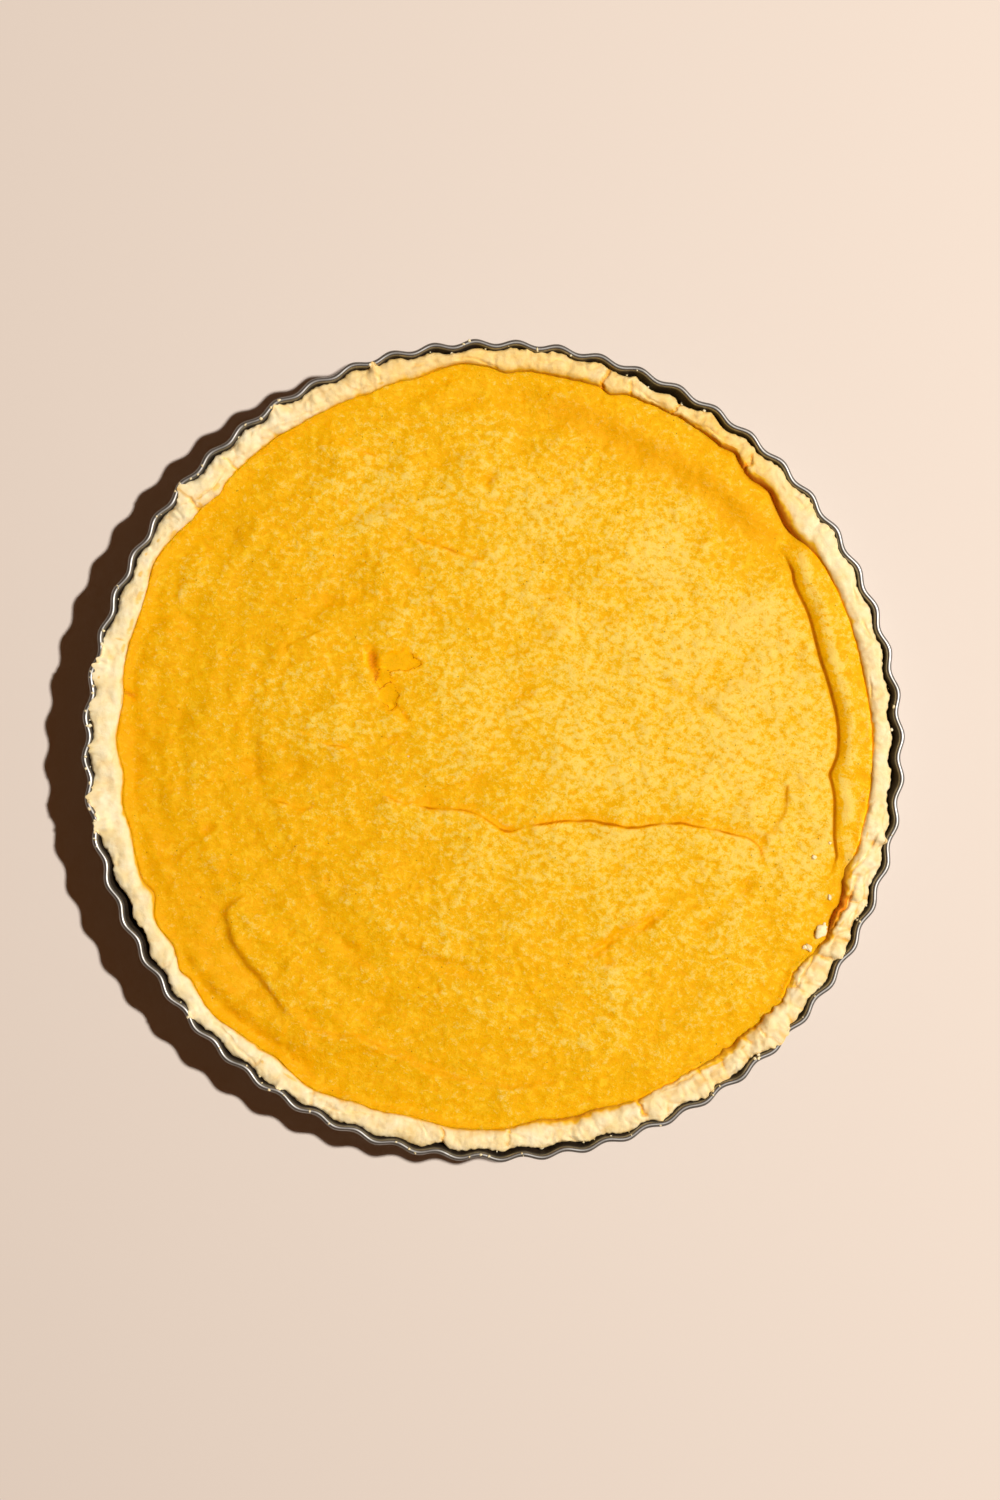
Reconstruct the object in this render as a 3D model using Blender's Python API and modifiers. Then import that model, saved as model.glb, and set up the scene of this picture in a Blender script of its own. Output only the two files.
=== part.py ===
"""A cream cheese pumpkin pie in the fluted tart tin that it was baked in.

The pieces are the fluted tin with its rolled rim, the shortcrust case, and the baked filling. Lengths are in
millimetres here and in metres in Blender. +Z is up, and the origin is the centre of the tin's underside.
Angles are in degrees round the pie, anticlockwise from +X.
"""

import math

import bpy
from mathutils import Vector, noise

MM = 0.001
CLEARANCE = 0.3  # between pieces that rest on each other

# Tin: tinned steel sheet, fluted all round, with the edge rolled over at the rim.
RIM_DIAMETER = 280.0  # over the rolled rim, at the crests of the flutes
BASE_DIAMETER = 264.0  # over the foot of the wall, at the crests
TIN_HEIGHT = 30.0
SHEET = 0.7
BEAD_RADIUS = 0.95
BEAD_ANGLES = (150, 80, 10, -60)  # round the rolled edge, from its inner side over the top
FLUTES = 60
FLUTE_DEPTH = 1.7  # crest to hollow
FLUTE_PHASE = 1.5  # angle of the first crest
RING_STEPS = FLUTES * 6

# Shortcrust case, pressed into the flutes by hand, which shrank a little in the oven.
CASE_FLOOR = 4.0
CASE_GAP = 0.9  # from the wall of the tin to the pastry
EDGE_RADIUS = 128.8  # where the filling meets the pastry
FOOT_RADIUS = 122.5  # the same corner, at the floor of the case
RIM_TOP = 29.2
RIM_ROUND = 2.0  # how far the rounded outer edge of the rim falls
# Where the pastry leans over the filling (+) or stands back from it (-): angle, reach, spread.
EDGE_SWELLS = (
    (12, 0.6, 11), (37, 3.2, 5), (46, 2.0, 2.5), (60, -0.7, 8), (72, 1.4, 1.8), (96, -2.6, 7),
    (150, -2.8, 5.5), (178, 2.4, 6), (191, 2.8, 7), (204, 3.8, 3.5), (210, 1.6, 3), (221, -2.1, 6),
    (234, 1.0, 2.5), (243, -1.5, 4), (256, 1.2, 5), (281, 2.7, 7), (300, 1.0, 12), (324, 1.5, 3),
    (340, 2.4, 4), (352, 0.9, 5),
)
# Where the pastry has shrunk further from the tin (+) or spread towards it (-): angle, distance, spread.
SHRINK_SWELLS = (
    (8, 1.3, 13), (64, 1.6, 12), (85, -0.3, 7), (97, 0.5, 4), (140, -0.5, 6), (178, -0.5, 12),
    (204, 1.4, 11), (262, 1.0, 1.6), (276, 0.8, 12), (293, -0.5, 4), (315, -0.5, 3), (333, 1.1, 13),
    (355, 1.7, 7),
)
# Where the rim stands higher and rides up to the tin's rolled edge: angle, rise, spread.
RIM_SWELLS = ((140, 1.2, 6), (178, 1.4, 12), (294, 0.9, 3), (315, 1.3, 3))
# Joins and cracks across the rim: angle, depth.
PASTRY_CRACKS = (
    (48.5, 1.6), (62, 1.8), (73.5, 1.6), (107, 0.8), (133, 1.2), (140, 1.3), (262.3, 2.8), (272, 0.8),
    (292.5, 1.8), (304, 0.9), (311, 1.0), (328, 0.9),
)
CRACK_SPREAD = 0.9
LUMP_HEIGHT = 0.8
LUMP_LENGTH = 9.0

# Filling: a pumpkin and cream cheese custard, spread with a spoon and set.
FILL_LEVEL = 26.4
EDGE_CLEARANCE = 0.7  # between the filling and the pastry beside it
FILL_STEPS = 180
# A roll of filling pushed up along the right side, with a step on its inner side.
ROLL_FOOT = 115.4
ROLL_CREST = 117.0
ROLL_SPAN = (-17, 31)
ROLL_RISE = 0.9
ROLL_HOLLOW = 1.3
HOLLOW_START = 85.0
# The roll's inner side goes on round the pie as a soft valley.
VALLEY_SPAN = (31, 72)
VALLEY_RADIUS = 118.0
VALLEY_WIDTH = 7.0
VALLEY_DEPTH = 1.0
WAVE_HEIGHT = 0.5
WAVE_LENGTH = 42.0
# Folds left by the spoon: (x, y) of each end, and how far the filling drops on the left of the line.
SPOON_FOLDS = (
    ((-6, -22), (92, -31), 0.6),
    ((-91, -56), (-68, -90), -0.7),
    ((63, -39), (30, -68), 0.6),
)
FOLD_WIDTH = 9.0
# Circles of vertices on the filling's top, closest at the roll.
FILL_RINGS = (18, 40, 60, 77, 91, 103, ROLL_FOOT, ROLL_CREST, 123)

BEAD_HEIGHT = TIN_HEIGHT - BEAD_RADIUS
# Radii of the wall's inner face, halfway up a flute.
WALL_TOP = RIM_DIAMETER / 2 - FLUTE_DEPTH / 2 - 2 * BEAD_RADIUS
WALL_FOOT = BASE_DIAMETER / 2 - FLUTE_DEPTH / 2 - SHEET
CASE_BOTTOM = SHEET + CLEARANCE
FLOOR_TOP = CASE_BOTTOM + CASE_FLOOR


def clear_scene():
    for obj in list(bpy.data.objects):
        bpy.data.objects.remove(obj)


def new_collection(name):
    collection = bpy.data.collections.new(name)
    bpy.context.scene.collection.children.link(collection)
    return collection


def principled(name, colour, roughness, metallic=0.0):
    material = bpy.data.materials.new(name)
    material.use_nodes = True
    shader = material.node_tree.nodes["Principled BSDF"]
    shader.inputs["Base Color"].default_value = (*colour, 1)
    shader.inputs["Roughness"].default_value = roughness
    shader.inputs["Metallic"].default_value = metallic
    return material


def smoothstep(low, high, value):
    """0 below low, 1 above high, and a smooth rise between them."""
    t = min(1.0, max(0.0, (value - low) / (high - low)))
    return t * t * (3 - 2 * t)


def turn_from(angle, other):
    """Degrees from one angle to another, from -180 to 180."""
    return (other - angle + 180) % 360 - 180


def bump(distance, spread):
    """1 at no distance, and a rounded fall to nothing at about twice the spread."""
    return math.exp(-((distance / spread) ** 2))


def swell(features, degrees):
    """The sum of rounded bumps round the pie, each given as its angle, its height and its spread."""
    return sum(height * bump(turn_from(angle, degrees), spread) for angle, height, spread in features)


def within(span, degrees, fade):
    """1 inside a span of angles, falling to 0 at its ends over the fade."""
    start, end = span
    middle, half = (start + end) / 2, (end - start) / 2
    return 1 - smoothstep(half - fade, half, abs(turn_from(middle, degrees)))


def on_plan(radius, degrees):
    turn = math.radians(degrees)
    return radius * math.cos(turn), radius * math.sin(turn)


def flute(degrees):
    """How far the fluted sheet stands out at this angle."""
    return FLUTE_DEPTH / 2 * math.cos(math.radians(FLUTES * (degrees - FLUTE_PHASE)))


def wall_radius(height):
    """Inner face of the tin's flared wall at this height, halfway up a flute."""
    return WALL_FOOT + (WALL_TOP - WALL_FOOT) * (height - SHEET) / (BEAD_HEIGHT - SHEET)


def turned(name, profile, steps, collection, material):
    """A solid of revolution: the profile, in (radius, height), turns round the axis under a Screw."""
    edges = [(i, i + 1) for i in range(len(profile) - 1)]
    mesh = bpy.data.meshes.new(name + "_profile")
    mesh.from_pydata([(radius * MM, 0, height * MM) for radius, height in profile], edges, [])
    draft = bpy.data.objects.new(name + "_draft", mesh)
    collection.objects.link(draft)
    screw = draft.modifiers.new("Turn", "SCREW")
    screw.steps = screw.render_steps = steps
    screw.use_merge_vertices = True
    screw.merge_threshold = 0.00002
    graph = bpy.context.evaluated_depsgraph_get()
    solid = bpy.data.meshes.new_from_object(draft.evaluated_get(graph))
    bpy.data.objects.remove(draft)
    solid.name = name
    solid.materials.append(material)
    obj = bpy.data.objects.new(name, solid)
    collection.objects.link(obj)
    return obj


def shape_by(obj, rule, sharp_angle):
    """Moves each vertex to the radius and height that the rule gives it, and shades the piece smooth."""
    for vertex in obj.data.vertices:
        x, y, z = vertex.co / MM
        degrees = math.degrees(math.atan2(y, x))
        radius, height = rule(math.hypot(x, y), degrees, z)
        vertex.co = Vector((*on_plan(radius, degrees), height)) * MM
    obj.data.shade_smooth()
    obj.data.set_sharp_from_angle(angle=math.radians(sharp_angle))


def make_tin(collection, material):
    """The tin: a plain flat floor, a flared fluted wall, and the edge rolled over into a bead."""
    bead_centre = WALL_TOP + BEAD_RADIUS
    bead = [
        (bead_centre + across, BEAD_HEIGHT + up)
        for across, up in (on_plan(BEAD_RADIUS, angle) for angle in BEAD_ANGLES)
    ]
    profile = [(0, SHEET), (WALL_FOOT, SHEET), *bead, (WALL_FOOT + SHEET, 0), (0, 0)]

    def fluted(radius, degrees, height):
        return (radius + flute(degrees) if radius > 1 else 0), height

    tin = turned("tin", profile, RING_STEPS, collection, material)
    shape_by(tin, fluted, sharp_angle=50)


def edge_radius(degrees):
    """Inner edge of the pastry rim, at the height of the filling."""
    return EDGE_RADIUS - swell(EDGE_SWELLS, degrees)


def rim_relief(radius, degrees):
    """Height of the pastry rim above its plain profile: swells, lumps, and the cracks across it."""
    cracks = sum(depth * bump(turn_from(angle, degrees), CRACK_SPREAD) for angle, depth in PASTRY_CRACKS)
    lump = noise.noise(Vector((*on_plan(radius, degrees), 0)) / LUMP_LENGTH)
    return swell(RIM_SWELLS, degrees) + LUMP_HEIGHT * lump - cracks


def make_crust(collection, material):
    """The shortcrust case: a floor, a wall pressed into the flutes, and an uneven rounded rim."""
    rim_out = wall_radius(RIM_TOP - RIM_ROUND) - CASE_GAP
    foot_out = wall_radius(CASE_BOTTOM) - CASE_GAP
    inner_top = EDGE_RADIUS + 0.8
    profile = [
        (0, FLOOR_TOP),
        (FOOT_RADIUS, FLOOR_TOP),
        (EDGE_RADIUS, FILL_LEVEL - 0.3),
        (inner_top, RIM_TOP - 1.2),
        (EDGE_RADIUS + 2.8, RIM_TOP),
        (rim_out - 1.6, RIM_TOP - 0.3),
        (rim_out, RIM_TOP - RIM_ROUND),
        (foot_out, CASE_BOTTOM),
        (0, CASE_BOTTOM),
    ]

    def pressed(radius, degrees, height):
        if height < FILL_LEVEL - 1:
            return radius + flute(degrees) * smoothstep(FOOT_RADIUS, foot_out, radius), height
        outer = smoothstep(inner_top, rim_out, radius)
        lift = rim_relief(radius, degrees) * smoothstep(FILL_LEVEL, RIM_TOP - 1.2, height)
        lean = edge_radius(degrees) - EDGE_RADIUS
        flared = wall_radius(height + lift) - wall_radius(height)
        fit = flute(degrees) - swell(SHRINK_SWELLS, degrees) + flared
        return radius + lean * (1 - outer) + fit * outer, height + lift

    crust = turned("crust", profile, RING_STEPS, collection, material)
    shape_by(crust, pressed, sharp_angle=60)


def fold_drop(x, y):
    """The drop beside each fold: steep at the line, on its left, and fading over FOLD_WIDTH."""
    drop = 0.0
    for (x0, y0), (x1, y1), depth in SPOON_FOLDS:
        length = math.hypot(x1 - x0, y1 - y0)
        along = ((x - x0) * (x1 - x0) + (y - y0) * (y1 - y0)) / length
        side = ((x1 - x0) * (y - y0) - (y1 - y0) * (x - x0)) / length
        if 0 < along < length and 0 < side < FOLD_WIDTH:
            drop += depth * (1 - side / FOLD_WIDTH) * math.sin(math.pi * along / length)
    return drop


def fill_relief(radius, degrees):
    """Height of the filling's surface above FILL_LEVEL."""
    x, y = on_plan(radius, degrees)
    waves = WAVE_HEIGHT * noise.noise(Vector((x, y, 0)) / WAVE_LENGTH)
    crest = smoothstep(ROLL_FOOT, ROLL_CREST, radius)
    hollow = (1 - crest) * smoothstep(HOLLOW_START, ROLL_FOOT, radius)
    roll = within(ROLL_SPAN, degrees, 4) * (ROLL_RISE * crest - ROLL_HOLLOW * hollow)
    valley = within(VALLEY_SPAN, degrees, 10) * VALLEY_DEPTH * bump(radius - VALLEY_RADIUS, VALLEY_WIDTH)
    return waves + roll - valley - fold_drop(x, y)


def make_filling(collection, material):
    """The filling: it fills the case, and its top has waves, spoon folds and the roll on one side."""
    fill_edge = EDGE_RADIUS - EDGE_CLEARANCE
    foot = FOOT_RADIUS - EDGE_CLEARANCE
    bottom = FLOOR_TOP + CLEARANCE
    top = [(radius, FILL_LEVEL) for radius in (0, *FILL_RINGS, fill_edge)]
    profile = [*top, (foot, bottom), (0, bottom)]

    def spread(radius, degrees, height):
        if height < FILL_LEVEL - 1:
            return radius, height
        at_edge = smoothstep(ROLL_CREST, fill_edge, radius)
        lean = (edge_radius(degrees) - EDGE_RADIUS) * at_edge
        return radius + lean, height + fill_relief(radius, degrees) * (1 - 0.6 * at_edge)

    filling = turned("filling", profile, FILL_STEPS, collection, material)
    shape_by(filling, spread, sharp_angle=60)


def main():
    clear_scene()
    pie = new_collection("cream_cheese_pumpkin_pie")
    make_tin(pie, principled("tinned_steel", (0.16, 0.165, 0.17), 0.42, 0.9))
    make_crust(pie, principled("shortcrust", (0.93, 0.72, 0.36), 0.75))
    make_filling(pie, principled("pumpkin_custard", (0.93, 0.46, 0.02), 0.55))


main()
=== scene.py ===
# %% [markdown]
# # A pumpkin and cream cheese pie in its tart tin
# The pie is three things that fit inside each other: a fluted tin of thin steel, a shortcrust case that
# was pressed into it by hand, and a custard that was spread with a spoon and baked until it set. The
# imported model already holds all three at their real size. Here each gets the surface that makes it look
# like metal, pastry and custard.

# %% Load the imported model
import math

import bpy
import numpy as np
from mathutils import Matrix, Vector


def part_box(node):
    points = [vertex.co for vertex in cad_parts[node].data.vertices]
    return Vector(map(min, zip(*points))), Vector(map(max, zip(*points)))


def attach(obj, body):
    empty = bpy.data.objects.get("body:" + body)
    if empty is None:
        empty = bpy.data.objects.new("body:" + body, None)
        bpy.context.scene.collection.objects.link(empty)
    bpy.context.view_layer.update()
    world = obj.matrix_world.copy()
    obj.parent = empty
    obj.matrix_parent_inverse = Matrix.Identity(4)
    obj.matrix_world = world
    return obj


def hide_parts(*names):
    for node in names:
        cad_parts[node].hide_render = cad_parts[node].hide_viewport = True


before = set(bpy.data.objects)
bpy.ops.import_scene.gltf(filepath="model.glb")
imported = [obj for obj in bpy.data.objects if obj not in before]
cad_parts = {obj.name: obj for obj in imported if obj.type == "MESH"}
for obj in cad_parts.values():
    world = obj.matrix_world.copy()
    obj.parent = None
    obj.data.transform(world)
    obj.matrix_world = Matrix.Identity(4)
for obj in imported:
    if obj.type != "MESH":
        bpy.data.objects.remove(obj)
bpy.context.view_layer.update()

# %% [markdown]
# ## Sizes
# All sizes are in millimetres, and angles are in degrees round the pie, anticlockwise from +X. What the
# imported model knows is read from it. The rest is how the tin, the pastry and the custard are made.

# %% Main sizes
MM = 0.001
TIN_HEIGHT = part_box("tin")[1][2] / MM
CRUST_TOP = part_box("crust")[1][2] / MM
RIM_RADIUS = 139.7  # outermost, at the crest of a flute
BASE_RADIUS = 132.0
SHEET = 0.7
BEAD_RADIUS = 0.95
FLUTES = 60
FLUTE_DEPTH = 1.7
FLUTE_PHASE = 1.7
BEAD_HEIGHT = TIN_HEIGHT - BEAD_RADIUS
WALL_TOP = RIM_RADIUS - FLUTE_DEPTH / 2 - 2 * BEAD_RADIUS
WALL_FOOT = BASE_RADIUS - FLUTE_DEPTH / 2 - SHEET
print("tin height", round(TIN_HEIGHT, 2), "wall", round(WALL_FOOT, 2), "to", round(WALL_TOP, 2))

# %% [markdown]
# ## Tools for surfaces
# Every piece is a grid of points. A round piece is a stack of rings, each ring a closed loop of points,
# and the stack starts and ends at a pole on the axis, so that the surface is closed. The rings run out
# over the top, down the outer side and back in underneath, which makes every face look outwards.

# %% Meshes from arrays


def make_piece(name, points, *face_sets):
    """A smooth-shaded mesh object from an (N, 3) array in millimetres and arrays of corner numbers."""
    mesh = bpy.data.meshes.new(name)
    corners = np.concatenate([faces.ravel() for faces in face_sets]).astype(np.int32)
    sizes = np.concatenate([np.full(len(faces), faces.shape[1]) for faces in face_sets])
    mesh.vertices.add(len(points))
    mesh.vertices.foreach_set("co", np.ascontiguousarray(points * MM, np.float32).ravel())
    mesh.loops.add(len(corners))
    mesh.loops.foreach_set("vertex_index", corners)
    mesh.polygons.add(len(sizes))
    mesh.polygons.foreach_set("loop_start", (np.cumsum(sizes) - sizes).astype(np.int32))
    mesh.update(calc_edges=True)
    mesh.validate()
    mesh.shade_smooth()
    piece = bpy.data.objects.new(name, mesh)
    bpy.context.scene.collection.objects.link(piece)
    triangles = int((sizes - 2).sum())
    print(f"{name}: {len(points)} points, {triangles} triangles")
    return piece


def ring_faces(rows, columns):
    """Quads between neighbouring rings of points, each ring closed on itself."""
    row, column = np.meshgrid(np.arange(rows - 1), np.arange(columns), indexing="ij")
    following = (column + 1) % columns
    first, second = row * columns, (row + 1) * columns
    quads = [first + column, second + column, second + following, first + following]
    return np.stack(quads, -1).reshape(-1, 4)


def ring_piece(name, rings, top, bottom):
    """A closed piece from rings of points, (rows, columns, 3), with a pole at the start and the end."""
    rows, columns = rings.shape[:2]
    points = np.concatenate([rings.reshape(-1, 3), [top, bottom]])
    here = np.arange(columns)
    after = (here + 1) % columns
    last = (rows - 1) * columns
    start, end = rows * columns, rows * columns + 1
    cap = np.stack([np.full(columns, start), here, after], -1)
    foot = np.stack([last + here, np.full(columns, end), last + after], -1)
    return make_piece(name, points, ring_faces(rows, columns), np.concatenate([cap, foot]))


def give_attribute(piece, name, values):
    """Stores one number for each point of the piece, which a material can read by name."""
    attribute = piece.data.attributes.new(name, "FLOAT", "POINT")
    attribute.data.foreach_set("value", np.ascontiguousarray(values, np.float32).ravel())

# %% [markdown]
# ## Tools for unevenness
# Food is uneven at every size, and yet the file has to give the same pie each time it runs. So the fine
# unevenness is gradient noise, a smooth height whose random numbers come from the place and a seed, and
# the larger swells and cracks are bumps at chosen angles.

# %% Noise and swells


def scrambled(cells, seed):
    """A repeatable random number from -1 to 1 for each cell: its whole-number place, multiplied and mixed."""
    x, y, z = cells[..., 0], cells[..., 1], cells[..., 2]
    mixed = (x * 374761393 + y * 668265263 + z * 2246822519 + seed * 3266489917) & 0xFFFFFFFF
    mixed = ((mixed ^ (mixed >> 15)) * 2246822519) & 0xFFFFFFFF
    mixed = ((mixed ^ (mixed >> 13)) * 3266489917) & 0xFFFFFFFF
    return ((mixed ^ (mixed >> 16)) & 0xFFFFFF) / 0x7FFFFF - 1


def noise(points, size, seed):
    """Gradient noise, about -1 to 1: the eased mean of random slopes at the corners of cells of this size."""
    placed = points / size
    cell = np.floor(placed).astype(np.int64)
    inside = placed - cell
    ease = inside**3 * (inside * (inside * 6 - 15) + 10)
    total = np.zeros(points.shape[:-1])
    for corner in np.ndindex(2, 2, 2):
        slope = np.stack([scrambled(cell + corner, seed + 17 * axis) for axis in range(3)], -1)
        share = np.where(corner, ease, 1 - ease).prod(-1)
        total += share * (slope * (inside - corner)).sum(-1)
    return 1.5 * total


def chunks(points, size, seed):
    """Rounded chunks, 0 in the creases: how much nearer the nearest of many scattered points is than the
    next one."""
    placed = points[..., :2] / size
    cell = np.floor(placed).astype(np.int64)
    nearest = np.full(placed.shape[:-1], 9.0)
    second = nearest.copy()
    for step in np.ndindex(3, 3):
        there = np.concatenate([cell + np.array(step) - 1, np.zeros_like(cell[..., :1])], -1)
        jitter = np.stack([scrambled(there, seed), scrambled(there, seed + 1)], -1)
        away = np.linalg.norm(there[..., :2] + 0.5 + 0.45 * jitter - placed, axis=-1)
        second = np.minimum(second, np.maximum(nearest, away))
        nearest = np.minimum(nearest, away)
    return second - nearest


def smooth(low, high, value):
    """0 below low, 1 above high, and an eased rise between them."""
    t = np.clip((value - low) / (high - low), 0, 1)
    return t * t * (3 - 2 * t)


def turn_from(angle, degrees):
    """Degrees from one angle to the others, from -180 to 180."""
    return (degrees - angle + 180) % 360 - 180


def swell(features, degrees):
    """The sum of height * exp(-(angle away / spread)^2) over features of (angle, height, spread)."""
    return sum(
        height * np.exp(-((turn_from(angle, degrees) / spread) ** 2))
        for angle, height, spread in features
    )


def round_trip(columns):
    """Evenly spaced angles right round the pie."""
    return np.arange(columns) * 360 / columns


def on_plan(radius, degrees, height):
    """Points from cylindrical coordinates."""
    turn = np.radians(degrees)
    return np.stack(np.broadcast_arrays(radius * np.cos(turn), radius * np.sin(turn), height), -1)


def arc(centre, radius, start, end, count):
    """Points in (radius, height) round an arc of a profile."""
    turn = np.radians(np.linspace(start, end, count))
    return [(centre[0] + radius * math.cos(t), centre[1] + radius * math.sin(t)) for t in turn]

# %% [markdown]
# ## The tin
# A tart tin is one round of tinned sheet steel, pressed into flutes so that it stays stiff, with its edge
# rolled over into a bead. Its cross-section is a profile of lines and arcs. The flutes are a cosine of
# the angle, added to the radius of every point, and fade out on the flat floor. A real tin that has been
# used is also a little out of round. A Screw modifier could turn the profile, but the flutes would still
# have to be pressed in afterwards. One grid of points holds both, and it comes out closed.

# %% Tin profile
FILLET = 1.6
OUT_OF_ROUND = 0.5
floor_inner = [(radius, SHEET) for radius in (40, 80, 110, 124, 127.5)]
corner_inner = arc((WALL_FOOT - FILLET, SHEET + FILLET), FILLET, -90, -10, 5)
up_wall = np.linspace(0.1, 0.96, 7)
wall_inner = [(WALL_FOOT + (WALL_TOP - WALL_FOOT) * t, SHEET + (BEAD_HEIGHT - SHEET) * t) for t in up_wall]
bead = arc((WALL_TOP + BEAD_RADIUS, BEAD_HEIGHT), BEAD_RADIUS, 184, -122, 17)
wall_outer = [(r + SHEET, h) for r, h in wall_inner[::-1]]
corner_outer = arc((WALL_FOOT + SHEET - 1, 1), 1, 0, -90, 5)
floor_outer = [(radius, 0) for radius in (127.5, 124, 110, 80, 40)]
inner_profile = [*floor_inner, *corner_inner, *wall_inner]
tin_profile = np.array([*inner_profile, *bead, *wall_outer, *corner_outer, *floor_outer])
print("tin profile:", len(tin_profile), "points")

# %% [markdown]
# ### Flutes
# The profile goes round as 24 points for each flute, enough for a smooth cosine. Copying one flute sixty
# times would be shorter, but the dies of a real press don't land the same distance apart, and a formula
# can let them drift.

# %% Turn the tin and press its flutes
TIN_COLUMNS = FLUTES * 24


def flute(degrees):
    """How far the fluted sheet stands out: half its depth times the cosine of sixty waves a turn, whose phase
    drifts by a degree on the way round, because the dies don't press every flute the same distance apart."""
    turn = np.radians(degrees - 60)
    phase = FLUTE_PHASE + 0.95 * np.cos(turn) + 0.3 * np.cos(2 * turn)
    return FLUTE_DEPTH / 2 * np.cos(np.radians(FLUTES * (degrees - phase)))


def out_of_round(degrees):
    """A slight oval: longest from upper left to lower right."""
    return OUT_OF_ROUND * np.cos(np.radians(2 * (degrees - 135)))


tin_angles = round_trip(TIN_COLUMNS)
tin_radius, tin_level = tin_profile[:, :1], tin_profile[:, 1:]
on_wall = smooth(WALL_FOOT - 5, WALL_FOOT - 0.5, tin_radius)
raised = smooth(2, TIN_HEIGHT, tin_level)
pressed = tin_radius + on_wall * flute(tin_angles) + raised * out_of_round(tin_angles)
tin_rings = on_plan(pressed, tin_angles, tin_level)
dents = 0.12 * noise(tin_rings, 18, 5) * raised
tin_rings[..., 0] += dents * np.cos(np.radians(tin_angles))
tin_rings[..., 1] += dents * np.sin(np.radians(tin_angles))
tin = ring_piece("fluted_tin", tin_rings, (0, 0, SHEET), (0, 0, 0))
# The inner wall's dark film: partly baked-on butter, partly painted shade of the gap beside the pastry.
baked_on_and_shade = np.zeros(len(tin_profile))
baked_on_and_shade[: len(inner_profile)] = 1
baked_on_and_shade[len(inner_profile)] = 0.6
give_attribute(tin, "baked_on_and_shade", np.append(np.repeat(baked_on_and_shade, TIN_COLUMNS), (1, 0)))

# %% [markdown]
# ## The pastry case
# Shortcrust is butter rubbed into flour, so it is short: it tears and crumbles instead of stretching, and
# its rim keeps the shape of the fingers that pressed it. The rim's cross-section is a rounded box between
# an inner edge and an outer edge, and both edges wander with the angle. Lumps are noise, and joins are
# grooves across the rim.

# %% Edges of the rim
CASE_FLOOR_TOP = 5.0
CASE_BOTTOM = 1.0
FOOT_RADIUS = 122.5
EDGE_RADIUS = 128.6
RIM_MIDDLE = 133.0
NEAR_EDGE = 130.0  # noise that follows the angle alone is read on this circle
RIM_TOP = 29.2
FILL_LEVEL = 26.4
# Where the pastry leans over the filling (+) or stands back from it (-): angle, reach, spread.
EDGE_SWELLS = (
    (12, 0.6, 11), (37, 3.2, 5), (43, -1.0, 1.5), (47, 1.6, 2), (51, -0.9, 1.5), (60, -0.8, 8),
    (72, 1.6, 1.3), (84, -0.6, 3), (88, 1.0, 1.6), (95, -3.0, 5), (107, -0.4, 3), (109, 0.8, 1.6),
    (128, -0.5, 5), (137, 1.2, 1.8), (150, -3.0, 4.5), (144, -0.4, 2), (173, 1.9, 4), (184, 2.6, 4),
    (193, 2.6, 4), (203, 3.6, 2.2), (199, 1.2, 3), (211, 1.6, 2), (215, -1.1, 1.2), (223, -2.1, 4),
    (235, 1.1, 2), (242, -1.5, 4), (249, 0.6, 2), (257, 1.4, 4), (277, 2.4, 4), (286, 2.0, 4),
    (298, 1.2, 8), (319, -0.8, 1.5), (324, 2.0, 3), (331, -0.9, 1.5), (341, 2.7, 2.6), (348, 1.0, 5),
)
# Where the pastry has shrunk further from the tin (+) or spread towards it (-): angle, distance, spread.
SHRINK_SWELLS = (
    (5, 1.4, 9), (355, 1.1, 7), (53, 0.4, 3), (63, 1.5, 10), (66.5, 0.5, 2.5), (57.4, -0.9, 1.4),
    (61.8, 0.8, 1.0), (86.3, 0.6, 1.0), (84, -0.3, 6), (96.5, 0.7, 3.5), (140, -0.6, 5), (178, -0.7, 12),
    (204.5, 1.8, 9), (228, 0.3, 8), (262.3, 1.2, 1.2), (276, 1.1, 10), (293, -0.7, 3), (304, 0.3, 5),
    (315, -0.8, 2.5), (333, 0.3, 10), (33, -0.2, 9),
)
# Where the pastry has flowed over the tin's edge: angle, share of the bead's width, spread.
SPILLS = (
    (107.4, 0.8, 0.5), (122.4, 0.5, 1.2), (140.2, 0.7, 1.3), (167.5, 0.7, 3.0), (173.5, 0.5, 1.2),
    (179.5, 0.5, 0.8), (186.5, 0.6, 2.0), (190.5, 0.9, 1.4), (221.0, 0.8, 0.9), (237.5, 0.5, 0.6),
    (315.2, 1.3, 1.8), (294.4, 0.3, 1.2), (35, 0.22, 9), (303, 0.3, 3), (84, 0.2, 4), (329.5, 0.6, 0.8),
    (347.0, 0.5, 0.7),
)
# Where the pastry is more crumbly: angle, amount, spread.
CRUMBLY = (
    (316, 0.8, 12), (337, 0.6, 12), (300, 0.3, 8), (282, 0.25, 14), (58, 0.5, 10), (80, 0.25, 10),
    (108, 0.3, 8), (128, 0.3, 12), (141, 0.3, 5), (5, 0.25, 14), (250, 0.2, 14),
)
# Where the rim stands higher (+) or lower (-): angle, height, spread.
RIM_SWELLS = (
    (140, 1.0, 6), (178, 1.1, 12), (294, 0.7, 3), (315, 1.1, 3), (37, 0.3, 5), (137, 0.5, 1.8),
    (150, -0.4, 6),
)
CASE_GAP = 0.08
POLE_RING = 60.0  # radius of the ring between each pole and the rest of the case
CASE_FLUTE = 0.72  # share of the flutes' depth that the top of the pastry keeps
CRUST_COLUMNS = 2000
crust_angles = round_trip(CRUST_COLUMNS)

# %% Where the rim begins and ends


def wall_radius(height):
    """Inner face of the tin's wall at a height, halfway up a flute."""
    return WALL_FOOT + (WALL_TOP - WALL_FOOT) * (height - SHEET) / (BEAD_HEIGHT - SHEET)


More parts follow.
